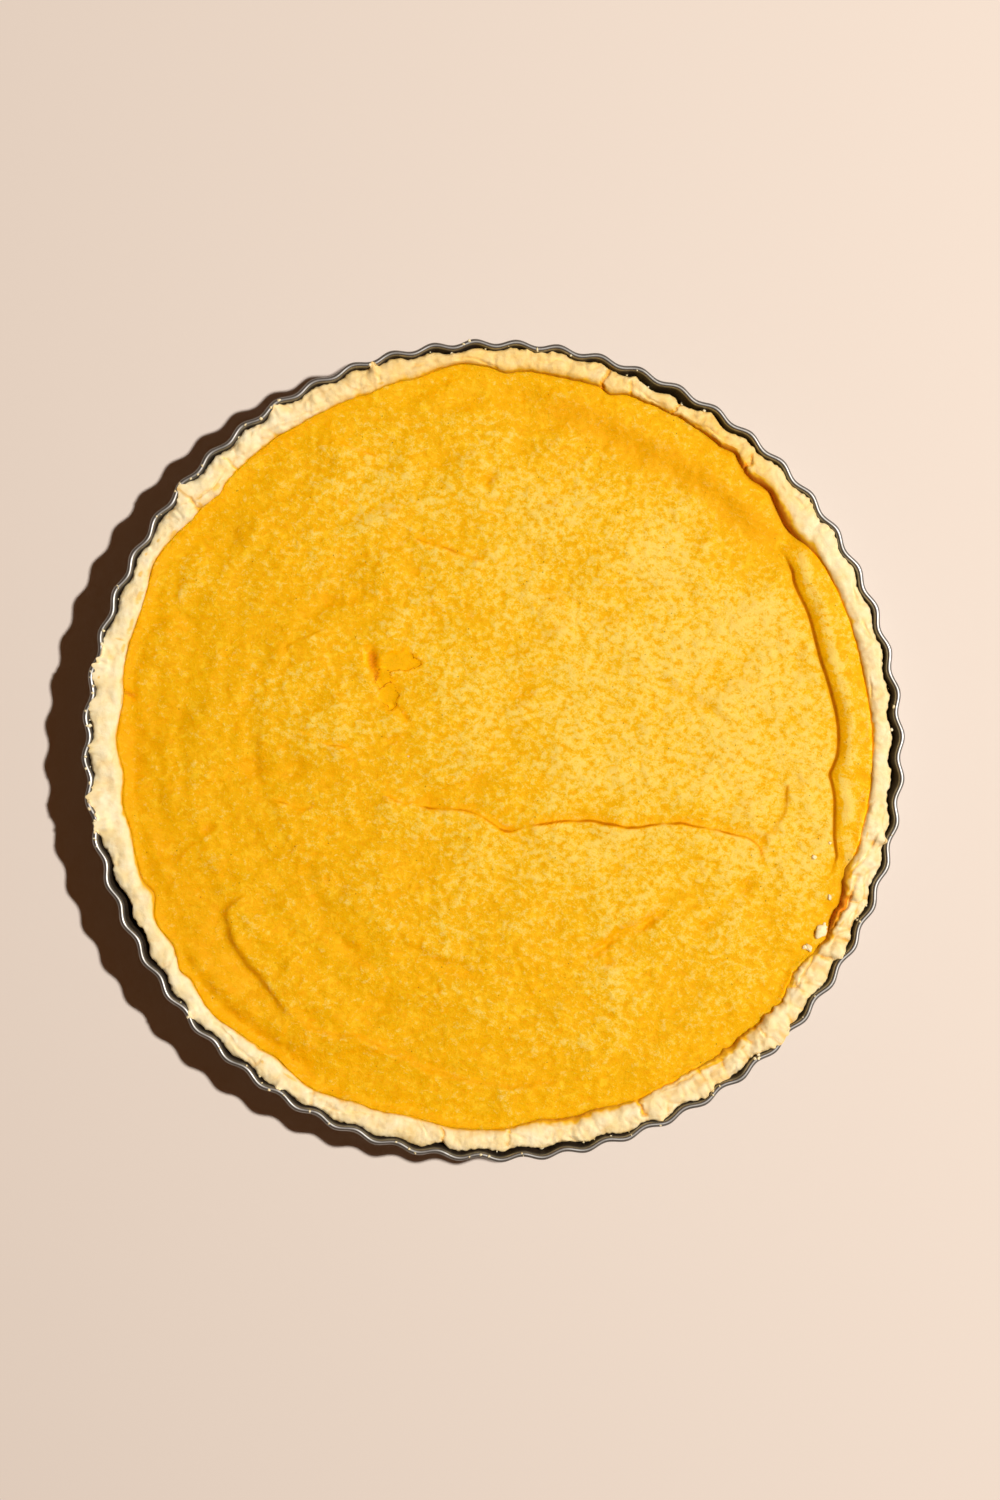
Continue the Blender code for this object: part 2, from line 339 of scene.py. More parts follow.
def edge_radius(degrees):
    """Inner edge of the pastry rim: listed swells, and a finer waver from noise."""
    plan = on_plan(NEAR_EDGE, degrees, 0)
    crumbled = 1.1 * noise(plan, 3.2, 32) + 0.6 * noise(plan, 1.5, 33)
    waver = 0.25 * noise(plan, 7, 31) + swell(CRUMBLY, degrees) * crumbled
    return EDGE_RADIUS - swell(EDGE_SWELLS, degrees) + waver


def outer_radius(degrees):
    """Outer edge of the pastry rim: the wall of the tin, less the gap and the shrinkage."""
    gap = np.maximum(CASE_GAP + swell(SHRINK_SWELLS, degrees), 0) + (1 - CASE_FLUTE) * FLUTE_DEPTH / 2
    return wall_radius(RIM_TOP - 1) + CASE_FLUTE * flute(degrees) + out_of_round(degrees) - gap


edge_in, edge_out = edge_radius(crust_angles), outer_radius(crust_angles)
print("rim width in mm:", round((edge_out - edge_in).min(), 1), "to", round((edge_out - edge_in).max(), 1))

# %% [markdown]
# ### Joins and folds
# The case was patched from pieces of dough, so joins run across the rim, and where the dough was folded
# over, grooves run along it. Sculpting would need a person for each one. Here each is a line in a table,
# cut as a soft groove whose distance wanders with noise, so that it tears rather than runs straight.

# %% Relief of the rim
# Joins and cracks: angle, depth, half width, slant in mm from inner to outer edge, and where they start
# and end across the rim, from 0 at the filling to 1 at the tin.
JOINS = (
    (48.5, 1.7, 0.55, 2.0, -0.2, 0.75), (55, 0.5, 0.8, -2, 0.1, 0.8), (62, 1.8, 0.6, 1.0, -0.2, 1.2),
    (69.3, 0.9, 0.5, 1.5, -0.1, 0.8), (73.3, 2.2, 0.6, -1.5, -0.2, 1.2), (90, 0.5, 0.8, 2, 0, 0.8),
    (107, 0.9, 0.6, 1.5, 0.3, 1.2), (118, 0.4, 0.9, -2, 0.1, 0.9), (132.6, 1.3, 0.5, 1.5, -0.2, 0.8),
    (140.5, 1.4, 0.5, -1.5, 0.0, 1.2), (166, 0.4, 0.8, 1.0, 0, 0.8), (213, 0.5, 0.8, 1.0, -0.1, 0.9),
    (233, 0.5, 0.6, -1.5, 0.1, 0.9), (242.5, 0.5, 0.6, 2.0, 0, 1), (262.3, 1.4, 0.55, 1.2, 0.1, 1.3),
    (272, 0.8, 0.6, -1.5, -0.1, 0.8), (285, 0.5, 0.7, 1.5, 0.0, 0.8), (292.6, 2.1, 0.6, 0.6, -0.3, 0.75),
    (303, 0.8, 0.5, 1.5, -0.1, 0.6), (306, 0.9, 0.45, -1.2, 0.1, 0.7), (311.6, 1.5, 0.6, 2.2, -0.2, 0.55),
    (313.5, 1.1, 0.5, -1.5, 0.2, 0.6), (322, 0.9, 0.5, 2.0, 0.1, 0.7), (328, 1.0, 0.5, 1.2, 0.3, 0.9),
    (8, 0.4, 0.8, 2, 0.1, 0.7), (22, 0.4, 0.7, -2, 0.2, 0.9), (352, 0.5, 0.7, 1.5, 0.1, 0.8),
)
# Folds that run along the rim: angle, half length in degrees, place across the rim, its drift, depth,
# half width.
LAYERS = (
    (336, 5.5, 0.28, 0.45, 1.4, 0.45), (344.5, 3.5, 0.45, 0.5, 1.0, 0.4), (325, 3.5, 0.25, -0.3, 0.9, 0.4),
    (301, 5, 0.18, 0.1, 0.6, 0.4), (137, 2.8, 0.35, 0.1, 1.0, 0.5), (9.5, 1.6, 0.25, 0.1, 0.6, 0.35),
    (18.3, 2.0, 0.65, -0.3, 0.7, 0.35), (23.8, 1.4, 0.75, 0.1, 0.7, 0.35),
    (39.3, 0.9, 0.72, 0.0, 0.7, 0.35), (42, 0.5, 0.6, 0.0, 0.5, 0.35), (305.5, 0.6, 0.45, 0.0, 0.7, 0.35),
    (273, 1.6, 0.35, 0.6, 0.6, 0.35), (119, 3.0, 0.3, 0.3, 0.5, 0.4), (93, 3.0, 0.35, 0.4, 0.6, 0.4),
    (81, 2.5, 0.6, -0.4, 0.6, 0.4), (66, 2.6, 0.35, 0.3, 0.6, 0.4), (56, 3.0, 0.3, -0.4, 0.6, 0.4),
    (228, 4.0, 0.5, 0.4, 0.5, 0.4), (248, 3.5, 0.45, -0.5, 0.6, 0.4), (100, 2.5, 0.55, 0.3, 0.4, 0.4),
    (259.5, 1.0, 0.25, 0.6, 0.6, 0.35),
)

# %% Cut the joins and folds


def joins(degrees, across, seed):
    """Depth of the grooves across the rim: the sum of depth * exp(-(distance / half width)^2), each inside
    its own stretch."""
    plan = on_plan(RIM_MIDDLE, degrees, 12 * across)
    wander = 1.3 * noise(plan, 5.0, seed) + 0.4 * noise(plan, 1.6, seed + 1)
    total = np.zeros(np.broadcast(degrees, across).shape)
    for angle, depth, half, slant, start, end in JOINS:
        away = np.radians(turn_from(angle, degrees)) * RIM_MIDDLE - slant * (across - 0.5) + wander
        reach = smooth(start - 0.1, start + 0.1, across) * (1 - smooth(end - 0.1, end + 0.1, across))
        total += depth * np.exp(-((away / half) ** 2)) * reach
    return total


def layers(degrees, across, width):
    """Depth of the folds along the rim, each a groove at its own distance across it, fading at both ends."""
    total = np.zeros(np.broadcast(degrees, across).shape)
    wander = 0.7 * noise(on_plan(RIM_MIDDLE, degrees, 12 * across), 3.5, 19)
    for angle, half_length, place, drift, depth, half in LAYERS:
        away = turn_from(angle, degrees) / half_length
        line = (across - place - drift * away * 0.5) * width + wander
        total += depth * np.exp(-((line / half) ** 2)) * np.exp(-(away**4))
    return total

# %% [markdown]
# ### The case in one surface
# The rim is a grid: round the pie one way, and over its rounded box of a section the other way. Lumps,
# chunks and grooves raise or lower it by millimetres, and real heights are better here than bump in a
# material, because the lamp then throws their true shadows. Where the pastry has flowed over the tin's
# edge, the section reaches past the wall.

# %% Build the pastry case
RIM_ROWS = 40
turn = np.linspace(np.pi, 0, RIM_ROWS)[:, None]
across = 0.5 * (1 + np.sign(np.cos(turn)) * np.abs(np.cos(turn)) ** 0.75)
rounding = np.abs(np.sin(turn)) ** np.where(turn > np.pi / 2, 0.75, 0.4)
rounding[[0, -1]] = 0
width = edge_out - edge_in
rim_radius = edge_in + width * across
flat = on_plan(rim_radius, crust_angles, 0)
crumbly = 0.2 + swell(CRUMBLY, crust_angles)
bent = flat + 2.4 * np.stack([noise(flat, 7, 11), noise(flat, 7, 12), np.zeros_like(rim_radius)], -1)
large, small = chunks(bent, 10.0, 5), chunks(bent, 4.6, 6)
broken = crumbly * smooth(-0.5, 0.3, noise(flat, 16, 13))
lumps = 0.8 * noise(flat, 14, 1) + (0.22 + 0.5 * crumbly) * noise(flat, 5, 8)
lumps = lumps + broken * 1.5 * (smooth(0.0, 0.6, large) - 0.8)
lumps = lumps + broken * 0.7 * (smooth(0.0, 0.5, small) - 0.6) + 0.3 * noise(flat, 3, 14)
lumps = lumps + (0.14 + 0.22 * crumbly) * noise(flat, 1.6, 4)
creases = smooth(0.16, 0.0, large) * 1.2 + smooth(0.16, 0.0, small) * 0.6
hollows = smooth(0.0, -0.5, noise(flat, 3, 14)) * (0.3 + 0.7 * crumbly)
grooves = joins(crust_angles, across, 9) + layers(crust_angles, across, width)
ragged_spill = 1 + 0.9 * noise(on_plan(RIM_RADIUS - 1.7, crust_angles, 0), 1.6, 25)
spill = np.clip(swell(SPILLS, crust_angles) * ragged_spill, 0, 1)
rim_level = RIM_TOP + swell(RIM_SWELLS, crust_angles) + lumps - grooves
over = spill * smooth(0.5, 0.8, across)
rim_level = rim_level * (1 - over) + (TIN_HEIGHT + 0.45 + 0.4 * noise(flat, 1.8, 26)) * over
rim_level = np.minimum(rim_level, CRUST_TOP)
outer_low = RIM_TOP - 4.5 + (TIN_HEIGHT + 4.6 - RIM_TOP) * smooth(0, 0.4, spill)
low = (FILL_LEVEL - 2.0) * (1 - across) + outer_low * across
rim_height = low + (rim_level - low) * rounding
steep = 1 - rounding
ragged = 0.7 * noise(flat, 6, 24) * crumbly + 0.5 * noise(flat, 2.6, 21) + 0.35 * noise(flat, 1.2, 22)
reach_out = (2 * BEAD_RADIUS + 0.4) * spill
rim_radius = rim_radius + (ragged + reach_out) * smooth(0.75, 1.0, across)
rim_radius = rim_radius + 0.2 * noise(flat, 3.5, 23) * smooth(0.3, 0, across)
wall_there = wall_radius(np.minimum(rim_height, 29)) + flute(crust_angles) + out_of_round(crust_angles)
clear_of_tin = wall_there - 0.1
rim_radius = np.minimum(rim_radius, clear_of_tin + np.where(rim_height > TIN_HEIGHT, reach_out, 0))

# %% Close the case below and build it
foot_out = wall_radius(CASE_BOTTOM) - 0.3
inner = [on_plan(radius, crust_angles, CASE_FLOOR_TOP) for radius in (POLE_RING, FOOT_RADIUS)]
outer = []
tucked = np.minimum(rim_radius[-1], clear_of_tin[-1] - 0.2)
for t in (0.1, 0.4, 0.7, 1.0):
    height = rim_height[-1] * (1 - t) + CASE_BOTTOM * t
    radius = tucked * (1 - t) + (foot_out + flute(crust_angles)) * t
    outer.append(on_plan(radius, crust_angles, height))
outer.append(on_plan(POLE_RING, crust_angles, CASE_BOTTOM))
rim = on_plan(rim_radius, crust_angles, rim_height)
crust_rings = np.concatenate([inner, rim, outer])
crust = ring_piece("pastry_case", crust_rings, (0, 0, CASE_FLOOR_TOP), (0, 0, CASE_BOTTOM))

# %% [markdown]
# ### Colour that follows the baking, and painted shade
# The thin top browns first, and custard has splashed and clung to the inner side. Where the inner edge
# faces away from the lamp it is painted golden brown as painted shade, with a brown line of painted
# shadow at its foot, and creases are painted a deeper gold as painted shade. A painted image could show
# that, but numbers stored on the points follow the relief and need no unwrapping.

# %% Where the pastry is toasted and stained, and where it is painted with shade
# Where the top is toasted: angle, amount, spread.
TOAST = (
    (52, 0.85, 14), (72, 0.35, 10), (90, 0.7, 16), (110, 0.35, 14), (270, 0.25, 30), (325, 0.25, 25),
    (8, 0.25, 22),
)
# Where the inner edge is browned, and above all where it faces away from the lamp and is painted
# with shade: angle, amount, spread.
BROWNED_AND_SHADED = (
    (44, 1.0, 15), (336, 0.9, 7), (310, 0.4, 8), (282, 0.45, 10), (75, 0.4, 12), (95, 0.25, 10),
    (8, 0.25, 12), (202, 0.3, 4), (184, 0.2, 8),
)
# Splashes of custard: angle, radius, half length along the rim, half width across it, in mm.
STAINS = (
    (146.0, 131.0, 2.4, 1.0), (148, 134.2, 0.8, 0.5), (151.5, 130.8, 5.0, 1.8), (153.5, 133.8, 1.2, 0.9),
    (156.5, 131.0, 3.0, 1.1), (150.5, 135.4, 0.6, 0.5), (161, 130.2, 3.0, 0.8), (163.4, 132.2, 0.5, 1.8),
    (164.6, 130.2, 1.6, 0.8), (136.4, 129.6, 2.6, 0.9), (139.2, 131.2, 1.2, 0.7), (140.0, 129.6, 0.6, 1.4),
    (168.5, 128.0, 4.0, 0.7), (172, 127.2, 3.0, 0.5), (169.5, 136.0, 0.6, 0.5), (233.4, 131.4, 1.4, 0.4),
    (238, 130.6, 2.8, 0.5), (247, 129.0, 1.6, 0.4), (262.8, 128.6, 0.9, 0.9), (291.8, 137.6, 1.6, 0.5),
    (292.9, 129.0, 0.9, 1.4), (292.4, 132.4, 0.5, 1.3), (304.5, 128.4, 2.2, 0.4), (312.4, 129.4, 1.6, 0.4),
    (310, 131.4, 1.2, 0.4), (333.5, 131.8, 1.6, 0.5), (336.5, 129.4, 3.0, 0.7), (340, 127.4, 1.8, 0.6),
    (343, 129.2, 2.2, 0.5), (347.2, 130.0, 1.4, 0.4), (45.8, 128.8, 1.6, 0.8), (47.8, 131.0, 0.4, 1.4),
    (7, 128.9, 2.0, 0.4), (74.2, 128.8, 0.8, 1.2), (62.2, 130.0, 0.8, 1.2), (107, 130.4, 1.2, 0.5),
    (214.8, 129.6, 1.0, 0.9),
)

# %% Store the baking and the painted shade on the points


def splashes(points):
    """How much custard lies on the pastry: the largest of the bumps at the splashes, with a ragged edge."""
    amount = np.zeros(points.shape[:-1])
    for angle, radius, along, over in STAINS:
        turn = math.radians(angle)
        u = points[..., 0] * math.cos(turn) + points[..., 1] * math.sin(turn) - radius
        v = points[..., 1] * math.cos(turn) - points[..., 0] * math.sin(turn)
        amount = np.maximum(amount, np.exp(-((v / along) ** 2) - (u / over) ** 2) * (u > -20))
    return 0.65 * smooth(0.25, 0.8, amount + 0.35 * noise(points, 1.3, 41) + 0.2 * noise(points, 0.6, 42))


browned_and_shaded = 0.15 + swell(BROWNED_AND_SHADED, crust_angles)
toast_and_shade = swell(TOAST, crust_angles) + 0.25 * noise(flat, 9, 51)
# Towards its foot the inner edge is painted golden: painted shade where it faces away from the lamp.
toast_and_shade = toast_and_shade + 1.3 * browned_and_shaded * smooth(0.55, 0.0, across) ** 2 + 0.2 * smooth(0.9, 1.0, across)
# Custard coat on the inner flank, partly real; where the edge faces away from the lamp it is painted higher
# and browner, as painted shadow under the rim.
smear_top = FILL_LEVEL + 1.3 + 1.5 * np.clip(browned_and_shaded, 0, 1)
inner_side = across < 0.3
smear_and_contact_shade = smooth(0.9, -0.2, rim_height + 0.5 * noise(flat, 2.5, 43) - smear_top + 0.7) * inner_side
# Joins, creases, hollows and the steep inner flank are painted a deeper gold: painted shade.
crease_shade_amount = grooves + 1.2 * creases * broken + 0.8 * hollows + 2.2 * (browned_and_shaded - 0.1) * steep * inner_side
custard_and_contact_shade = np.maximum(splashes(rim), smear_and_contact_shade * (1 + np.clip(browned_and_shaded - 0.15, 0, 1)))
# Each attribute on the floor inside the case, on its rim, and on its outer side.
crust_values = {
    "toast_and_shade": (0, np.clip(toast_and_shade, 0, 1), 0.6),
    "crease_shade": (0, np.clip(crease_shade_amount, 0, 2), 0),
    "custard": (1, custard_and_contact_shade, 0),
}
for name, (on_floor, on_rim, outside) in crust_values.items():
    floor_part = np.full(len(inner) * CRUST_COLUMNS, on_floor)
    outer_part = np.full(len(outer) * CRUST_COLUMNS, outside)
    give_attribute(crust, name, np.concatenate([floor_part, on_rim.ravel(), outer_part, (0, 0)]))

# %% [markdown]
# ## The custard
# The custard was thick enough to hold the marks of the spoon: a roll pushed up along the right side with
# a step on its inner side, long creases where one stroke ran over another, and a tongue at the lower
# left. Each is a curve with a height that depends on the distance from it. The top is a square grid
# mapped on to a disc, because rings would crowd at the middle. Its outer rows follow the foot of the
# roll, so that the step is an even one.

# %% Curves left by the spoon
ROLL_MIDDLE = 118.0  # radius at which the roll's unevenness is read


def curve_through(corners, parts=8):
    """A smooth curve through the corners: Catmull-Rom, each stretch a cubic from its four nearest corners."""
    p = np.array([corners[0], *corners, corners[-1]], float)
    t = (np.arange(parts) / parts)[None, :, None]
    a, b, c, d = (p[k : len(p) - 3 + k][:, None] for k in range(4))
    bend = 2 * b + (c - a) * t + (2 * a - 5 * b + 4 * c - d) * t**2 + (3 * b - a - 3 * c + d) * t**3
    return np.concatenate([(0.5 * bend).reshape(-1, 2), p[-1:]])


def beside(x, y, corners, reach):
    """For points within reach of the curve: which they are, their signed distance (positive on the curve's
    left), how far along it they lie from 0 to 1, and the direction to its left."""
    curve = curve_through(corners)
    near = (x > curve[:, 0].min() - reach) & (x < curve[:, 0].max() + reach)
    near &= (y > curve[:, 1].min() - reach) & (y < curve[:, 1].max() + reach)
    px, py = x[near][:, None], y[near][:, None]
    start, step = curve[:-1], np.diff(curve, axis=0)
    length = np.hypot(*step.T)
    t = np.clip(((px - start[:, 0]) * step[:, 0] + (py - start[:, 1]) * step[:, 1]) / length**2, 0, 1)
    dx, dy = px - start[:, 0] - t * step[:, 0], py - start[:, 1] - t * step[:, 1]
    away = np.hypot(dx, dy)
    nearest = away.argmin(1)
    row = np.arange(len(nearest))
    left = np.stack([-step[nearest, 1], step[nearest, 0]], -1) / length[nearest, None]
    side = np.sign(dx[row, nearest] * left[:, 0] + dy[row, nearest] * left[:, 1])
    travelled = np.append(0, np.cumsum(length))
    share = (travelled[nearest] + t[row, nearest] * length[nearest]) / travelled[-1]
    return near, side * away[row, nearest], share, left


def fade_ends(share, taper):
    """1 along a curve and 0 at both ends, eased over this share of its length."""
    return smooth(0, taper, share) * smooth(1, 1 - taper, share)

# %% [markdown]
# ### Marks of the spoon
# Each mark is a line in a table: steps that have a high and a low side, soft grooves and ridges, small
# pits and blobs, and torn places. Displacing the surface with a texture would give marks everywhere
# alike. A table puts each one where the spoon was, and only the fine grain between them is left to noise.

# %% Marks in the custard
# The foot of the roll, from its upper end to its lower one.
ROLL_FOOT = (
    (99.5, 65.0), (101.4, 60.7), (102.0, 57.3), (103.6, 53.4), (106.0, 48.6), (107.6, 44.2), (109.1, 38.0),
    (110.9, 31.0), (112.8, 25.4), (114.9, 18.2), (116.5, 11.4), (117.1, 5.3), (116.7, -0.9), (115.3, -5.0),
    (114.1, -8.2), (115.0, -11.8), (115.8, -17.2), (115.6, -24), (115.6, -30), (116.5, -36),
)
# Steps: the curve, with its high side on its left, how far that side stands up and the other lies low,
# how far each takes to level out, half the width of the climb, and how much painted shade lies at its foot.
STEPS = (
    (((91.3, -39.0), (91.2, -36.0), (90.3, -33.2), (87.5, -30.4), (84.0, -29.2), (77, -27.6),
      (66.8, -25.4), (57, -25.2), (48.7, -25.8), (44.7, -26.4), (36.0, -24.8), (26, -24.3), (15, -25.4),
      (7.3, -27.0), (3.9, -26.8), (-1.2, -24.5), (-6, -22.2), (-11, -20.4), (-19.9, -19.7), (-28, -18.2)),
      0.6, 0.8, 5.0, 4.5, 0.6, 0.85),
    (((-79.5, -48.6), (-84.8, -49.9), (-87.6, -51.2), (-90.4, -53.6), (-91.4, -56.6), (-90.2, -60.2),
      (-88.4, -64.8), (-85.1, -70.8), (-79.6, -78.0), (-75.0, -83.4), (-70.5, -88.6), (-66, -92)), 1.4,
      1.1, 4.5, 5.5, 2.0, 0.3),
    (((100.4, -11), (100.2, -14), (99.4, -19.2), (97.6, -24.0), (94.5, -27.6), (91.8, -29.2)), 0.4, 0.4,
      8.0, 3.0, 0.8, 0.6),
    (((-3.2, 63.8), (-8.5, 65.9), (-13.9, 67.6), (-20, 70.3), (-27.0, 72.2)), 0.6, 0.6, 4.0, 3.5, 0.6,
      0.7),
    (((-39.6, 99.6), (-44, 101.8), (-49.0, 103.2), (-52.0, 104.6), (-53.4, 106.6)), 0.5, 0.5, 3.0, 3.0,
      0.6, 0.6),
    (((-56, 41.4), (-62, 39.4), (-68.0, 37.0), (-71, 34.4)), 0.4, 0.4, 3.0, 3.0, 0.6, 0.5),
    (((-48.8, 0.2), (-52, 1.2), (-58.3, 3.0), (-67.5, 6.6)), 0.5, 0.4, 3.0, 3.0, 0.7, 0.4),
    (((-60.5, -19.1), (-65, -20.2), (-70, -18.6), (-76.0, -15.6)), 0.45, 0.4, 3.0, 3.0, 0.6, 0.5),
    (((-24.8, -17.4), (-30, -17.9), (-33.7, -17.0), (-36.8, -14.8)), 0.5, 0.5, 3.0, 3.0, 0.6, 0.5),
    (((14, 119), (28, 115.0), (40, 109.6), (53.2, 102.6), (62.5, 97.6), (73.6, 90.2), (82.1, 82.6),
      (87.6, 78.0), (92.6, 73.4), (97.5, 67.8)), 1.1, 0.8, 10.0, 8.0, 4.6, 0.05),
    (((24, -112.6), (8, -114.0), (-4.6, -113.3), (-18.2, -109.9), (-28.4, -105.6), (-38.6, -100.2),
      (-47.1, -96.7), (-53.9, -96.9), (-61.5, -94.0), (-68, -90)), 0.7, 0.5, 6.0, 3.0, 1.2, 0.45),
)
# Soft grooves (+) and ridges (-): the curve, depth, half width.
GROOVES = (
    (((61.9, -45.0), (58.5, -52.5), (53.6, -57.4), (49.4, -60.2), (44, -61.5), (35.2, -67.6),
      (26, -72.2)), 1.1, 1.3),
    (((90.6, -39.6), (85.5, -45.9), (80.4, -52.3), (75.4, -57.3), (64.5, -65.4)), 1.0, 2.2),
    (((88, -44.5), (80, -54.6), (70.5, -62.5), (58, -70)), -0.4, 5.0),
    (((58, -45.0), (53, -52.5), (45, -58), (30, -65)), -0.4, 4.0),
    (((-110.5, -56), (-106.5, -64.3), (-99.8, -72.9), (-86.2, -84.8), (-74.3, -93.0), (-60, -100.2),
      (-40, -107.5)), -0.9, 3.8),
    (((-104.6, -76.0), (-97.0, -83.6), (-85, -94.4), (-70, -104.5), (-50, -113)), 0.8, 2.8),
    (((-123, 18.5), (-121.6, 10), (-121.6, -2), (-121.6, -14), (-119, -28)), 1.1, 3.2),
    (((-38.6, -64.0), (-28.4, -67.4), (-13.1, -74.4), (2, -78)), 0.6, 2.2),
    (((-38.8, 1.4), (-35.5, 3.2), (-30.0, 4.4), (-28.4, 6.6)), 0.9, 1.2),
    (((-36.4, 15.6), (-32.9, 13.6), (-30.6, 11.2), (-28.6, 8.0)), 1.1, 0.9),
    (((-5.4, 89.6), (-2.0, 91.8), (2.6, 96.0)), 0.9, 1.4),
    (((-30.8, 58.8), (-27.5, 60.8), (-24.0, 60.9)), 0.8, 1.3),
    (((12.4, 56.6), (21, 53.2), (29.0, 50.2), (32.4, 47.2)), 0.6, 1.5),
    (((49.8, 27.6), (62, 20.6), (73.6, 13.4), (84, 4)), 0.45, 1.9),
    (((-107, 60), (-108.5, 51), (-104.5, 44), (-100, 40)), 0.6, 2.0),
    (((-118, 14), (-113, 35), (-101.5, 58), (-88, 76)), -0.7, 4.5),
    (((-100, 62), (-84, 79), (-60, 92)), 0.7, 3.4),
    (((-80, 60), (-58, 72), (-30, 82), (-4, 86)), -0.6, 4.0),
    (((-92, 30), (-72, 44), (-50, 52), (-22, 56)), 0.7, 3.6),
    (((-96, 8), (-74, 22), (-52, 30)), -0.6, 4.0),
    (((-20, 118), (0, 121), (22, 120)), 0.8, 3.2),
    (((-96, -4), (-80, -6), (-58, -8), (-40, -6)), 0.6, 3.6),
    (((-64, -36), (-60, -52), (-50, -66), (-34, -76)), 0.6, 3.0),
    (((-48, -34), (-46, -50), (-36, -60), (-20, -68)), -0.5, 3.2),
    (((-10, -92), (14, -98), (38, -96), (62, -86)), -0.5, 5.0),
)
# Pits (+) and blobs (-): centre, half sizes, tilt in degrees, depth.
PITS = (
    (-41.2, 30.6, 1.7, 4.6, 8, 2.2), (-39.8, 25.2, 0.9, 2.4, -12, 1.2), (-56.8, -44.0, 0.8, 2.0, -10, 0.7),
    (-31.8, -62.7, 1.3, 1.1, 0, 0.6), (-35.5, -78.0, 1.0, 0.8, 20, 0.4), (39.8, -71.8, 1.8, 0.9, 20, 0.55),
    (104.2, 35.2, 1.4, 1.1, 0, 0.4), (104.8, -66.0, 0.8, 1.8, -35, 0.5), (-50.5, 84.5, 2.2, 0.7, 5, 0.6),
    (45.6, 90.6, 1.2, 1.0, 0, 0.5), (-70.9, 34.2, 0.9, 1.8, 10, 0.5), (-19.2, -81.4, 0.7, 1.6, 0, 0.4),
    (61.7, -88.2, 2.0, 0.7, 8, 0.45), (-97.4, -26.3, 2.4, 1.2, 30, 0.7),
    (-103.4, -20.0, 6.0, 5.0, 20, -0.7), (90.6, -80.4, 2.0, 0.9, 40, 0.45),
    (77.0, -95.0, 0.9, 1.6, -20, 0.45), (65.1, -103.5, 2.4, 1.0, 30, 0.45),
    (-124.0, 19.2, 3.0, 1.0, -35, 1.1), (3.9, -26.9, 2.4, 0.8, 0, 0.55), (39.0, -25.2, 5.0, 0.7, -4, 0.3),
    (90.9, -35.0, 0.9, 2.4, 14, 0.45), (95.4, -27.4, 1.6, 0.9, 45, 0.4), (51.2, -59.4, 2.6, 1.0, 38, 0.35),
    (-13.9, 67.6, 1.8, 0.9, -20, 0.45), (8.0, 30.0, 1.0, 0.8, 0, 0.25), (-8.0, 46.0, 1.4, 0.7, 30, 0.3),
    (-4.0, 38.0, 0.9, 1.1, 0, 0.25), (70.0, 52.0, 1.2, 0.8, 0, 0.25), (-84.0, -14.0, 0.9, 2.0, 0, 0.35),
)
# Torn places, where the skin is off and the custard below is smooth: centre, half sizes, depth.
TEARS = ((-31.6, 30.4, 6.2, 3.5, 0.8), (-35.6, 18.6, 2.9, 4.2, 0.8), (-37.6, 24.6, 2.4, 3.0, 0.7))

# %% [markdown]
# ### The roll
# The largest mark is the roll that was pushed up along the right side. It has a formula of its own and
# not a line in the table of steps, because its back is round and because the grid follows its foot. Its
# height depends on the angle round the pie and on the distance outwards from that foot.

# %% Shape of the roll


def roll_foot(degrees):
    """Radius of the foot of the roll at each angle, held at its end values beyond both ends."""
    curve = curve_through(ROLL_FOOT)[::-1]
    turn = np.degrees(np.arctan2(curve[:, 1], curve[:, 0]))
    return np.interp(turn_from(0, degrees), turn, np.hypot(*curve.T))


def along_roll(degrees, ease):
    """1 beside the roll and 0 elsewhere, eased over this many degrees past both ends."""
    turn = turn_from(0, degrees)
    return smooth(-17.5 - ease, -16.5, turn) * smooth(32.0 + ease, 31.0, turn)


def roll_height(degrees, outward):
    """The roll: a shallow hollow up to its foot, an upright start, a climb that eases, and a round back that
    falls to the crust."""
    turn, plan = turn_from(0, degrees), on_plan(ROLL_MIDDLE, degrees, 0)
    drop = 0.2 + 0.2 * smooth(-14, 12, turn) + 0.1 * noise(plan, 8, 67)
    rise = 1.1 + 1.0 * smooth(-18, 2, turn) + 0.6 * noise(plan, 10, 68)
    hollow = -drop * np.exp(np.minimum(outward, 0) / 3.0) * (1 - smooth(-0.1, 0.5, outward))
    climb = 0.25 * smooth(0, 0.5, outward) + 0.75 * (1 - (1 - np.clip(outward / 5.2, 0, 1)) ** 1.4)
    back = 1 - (np.clip(outward - 5.2, 0, None) / 9.0) ** 2
    return (hollow + rise * np.clip(back, 0, 1) * climb) * along_roll(degrees, 5)

# %% Lines that wander


def wander(x, y):
    """Points shifted by up to a millimetre, so that a mark drawn through them isn't a perfect curve."""
    plan = np.stack([x, y, np.zeros_like(x)], -1)
    shift_x = 0.9 * noise(plan, 9, 92) + 0.2 * noise(plan, 3, 94)
    shift_y = 0.9 * noise(plan, 9, 93) + 0.2 * noise(plan, 3, 95)
    return x + shift_x, y + shift_y


def draw_in(x, y):
    """Moves the grid points near each step on to finer spacing: those nearest to it go to a third of their
    distance, and those 2.4 mm away stay."""
    warped = wander(x, y)
    for corners, *_ in STEPS[:-2]:
        near, away, share, left = beside(*warped, corners, 3)
        squeeze = 0.68 * np.clip(1 - np.abs(away) / 2.4, 0, 1) * fade_ends(share, 0.06)
        x[near] -= away * squeeze * left[:, 0]
        y[near] -= away * squeeze * left[:, 1]
    return x, y
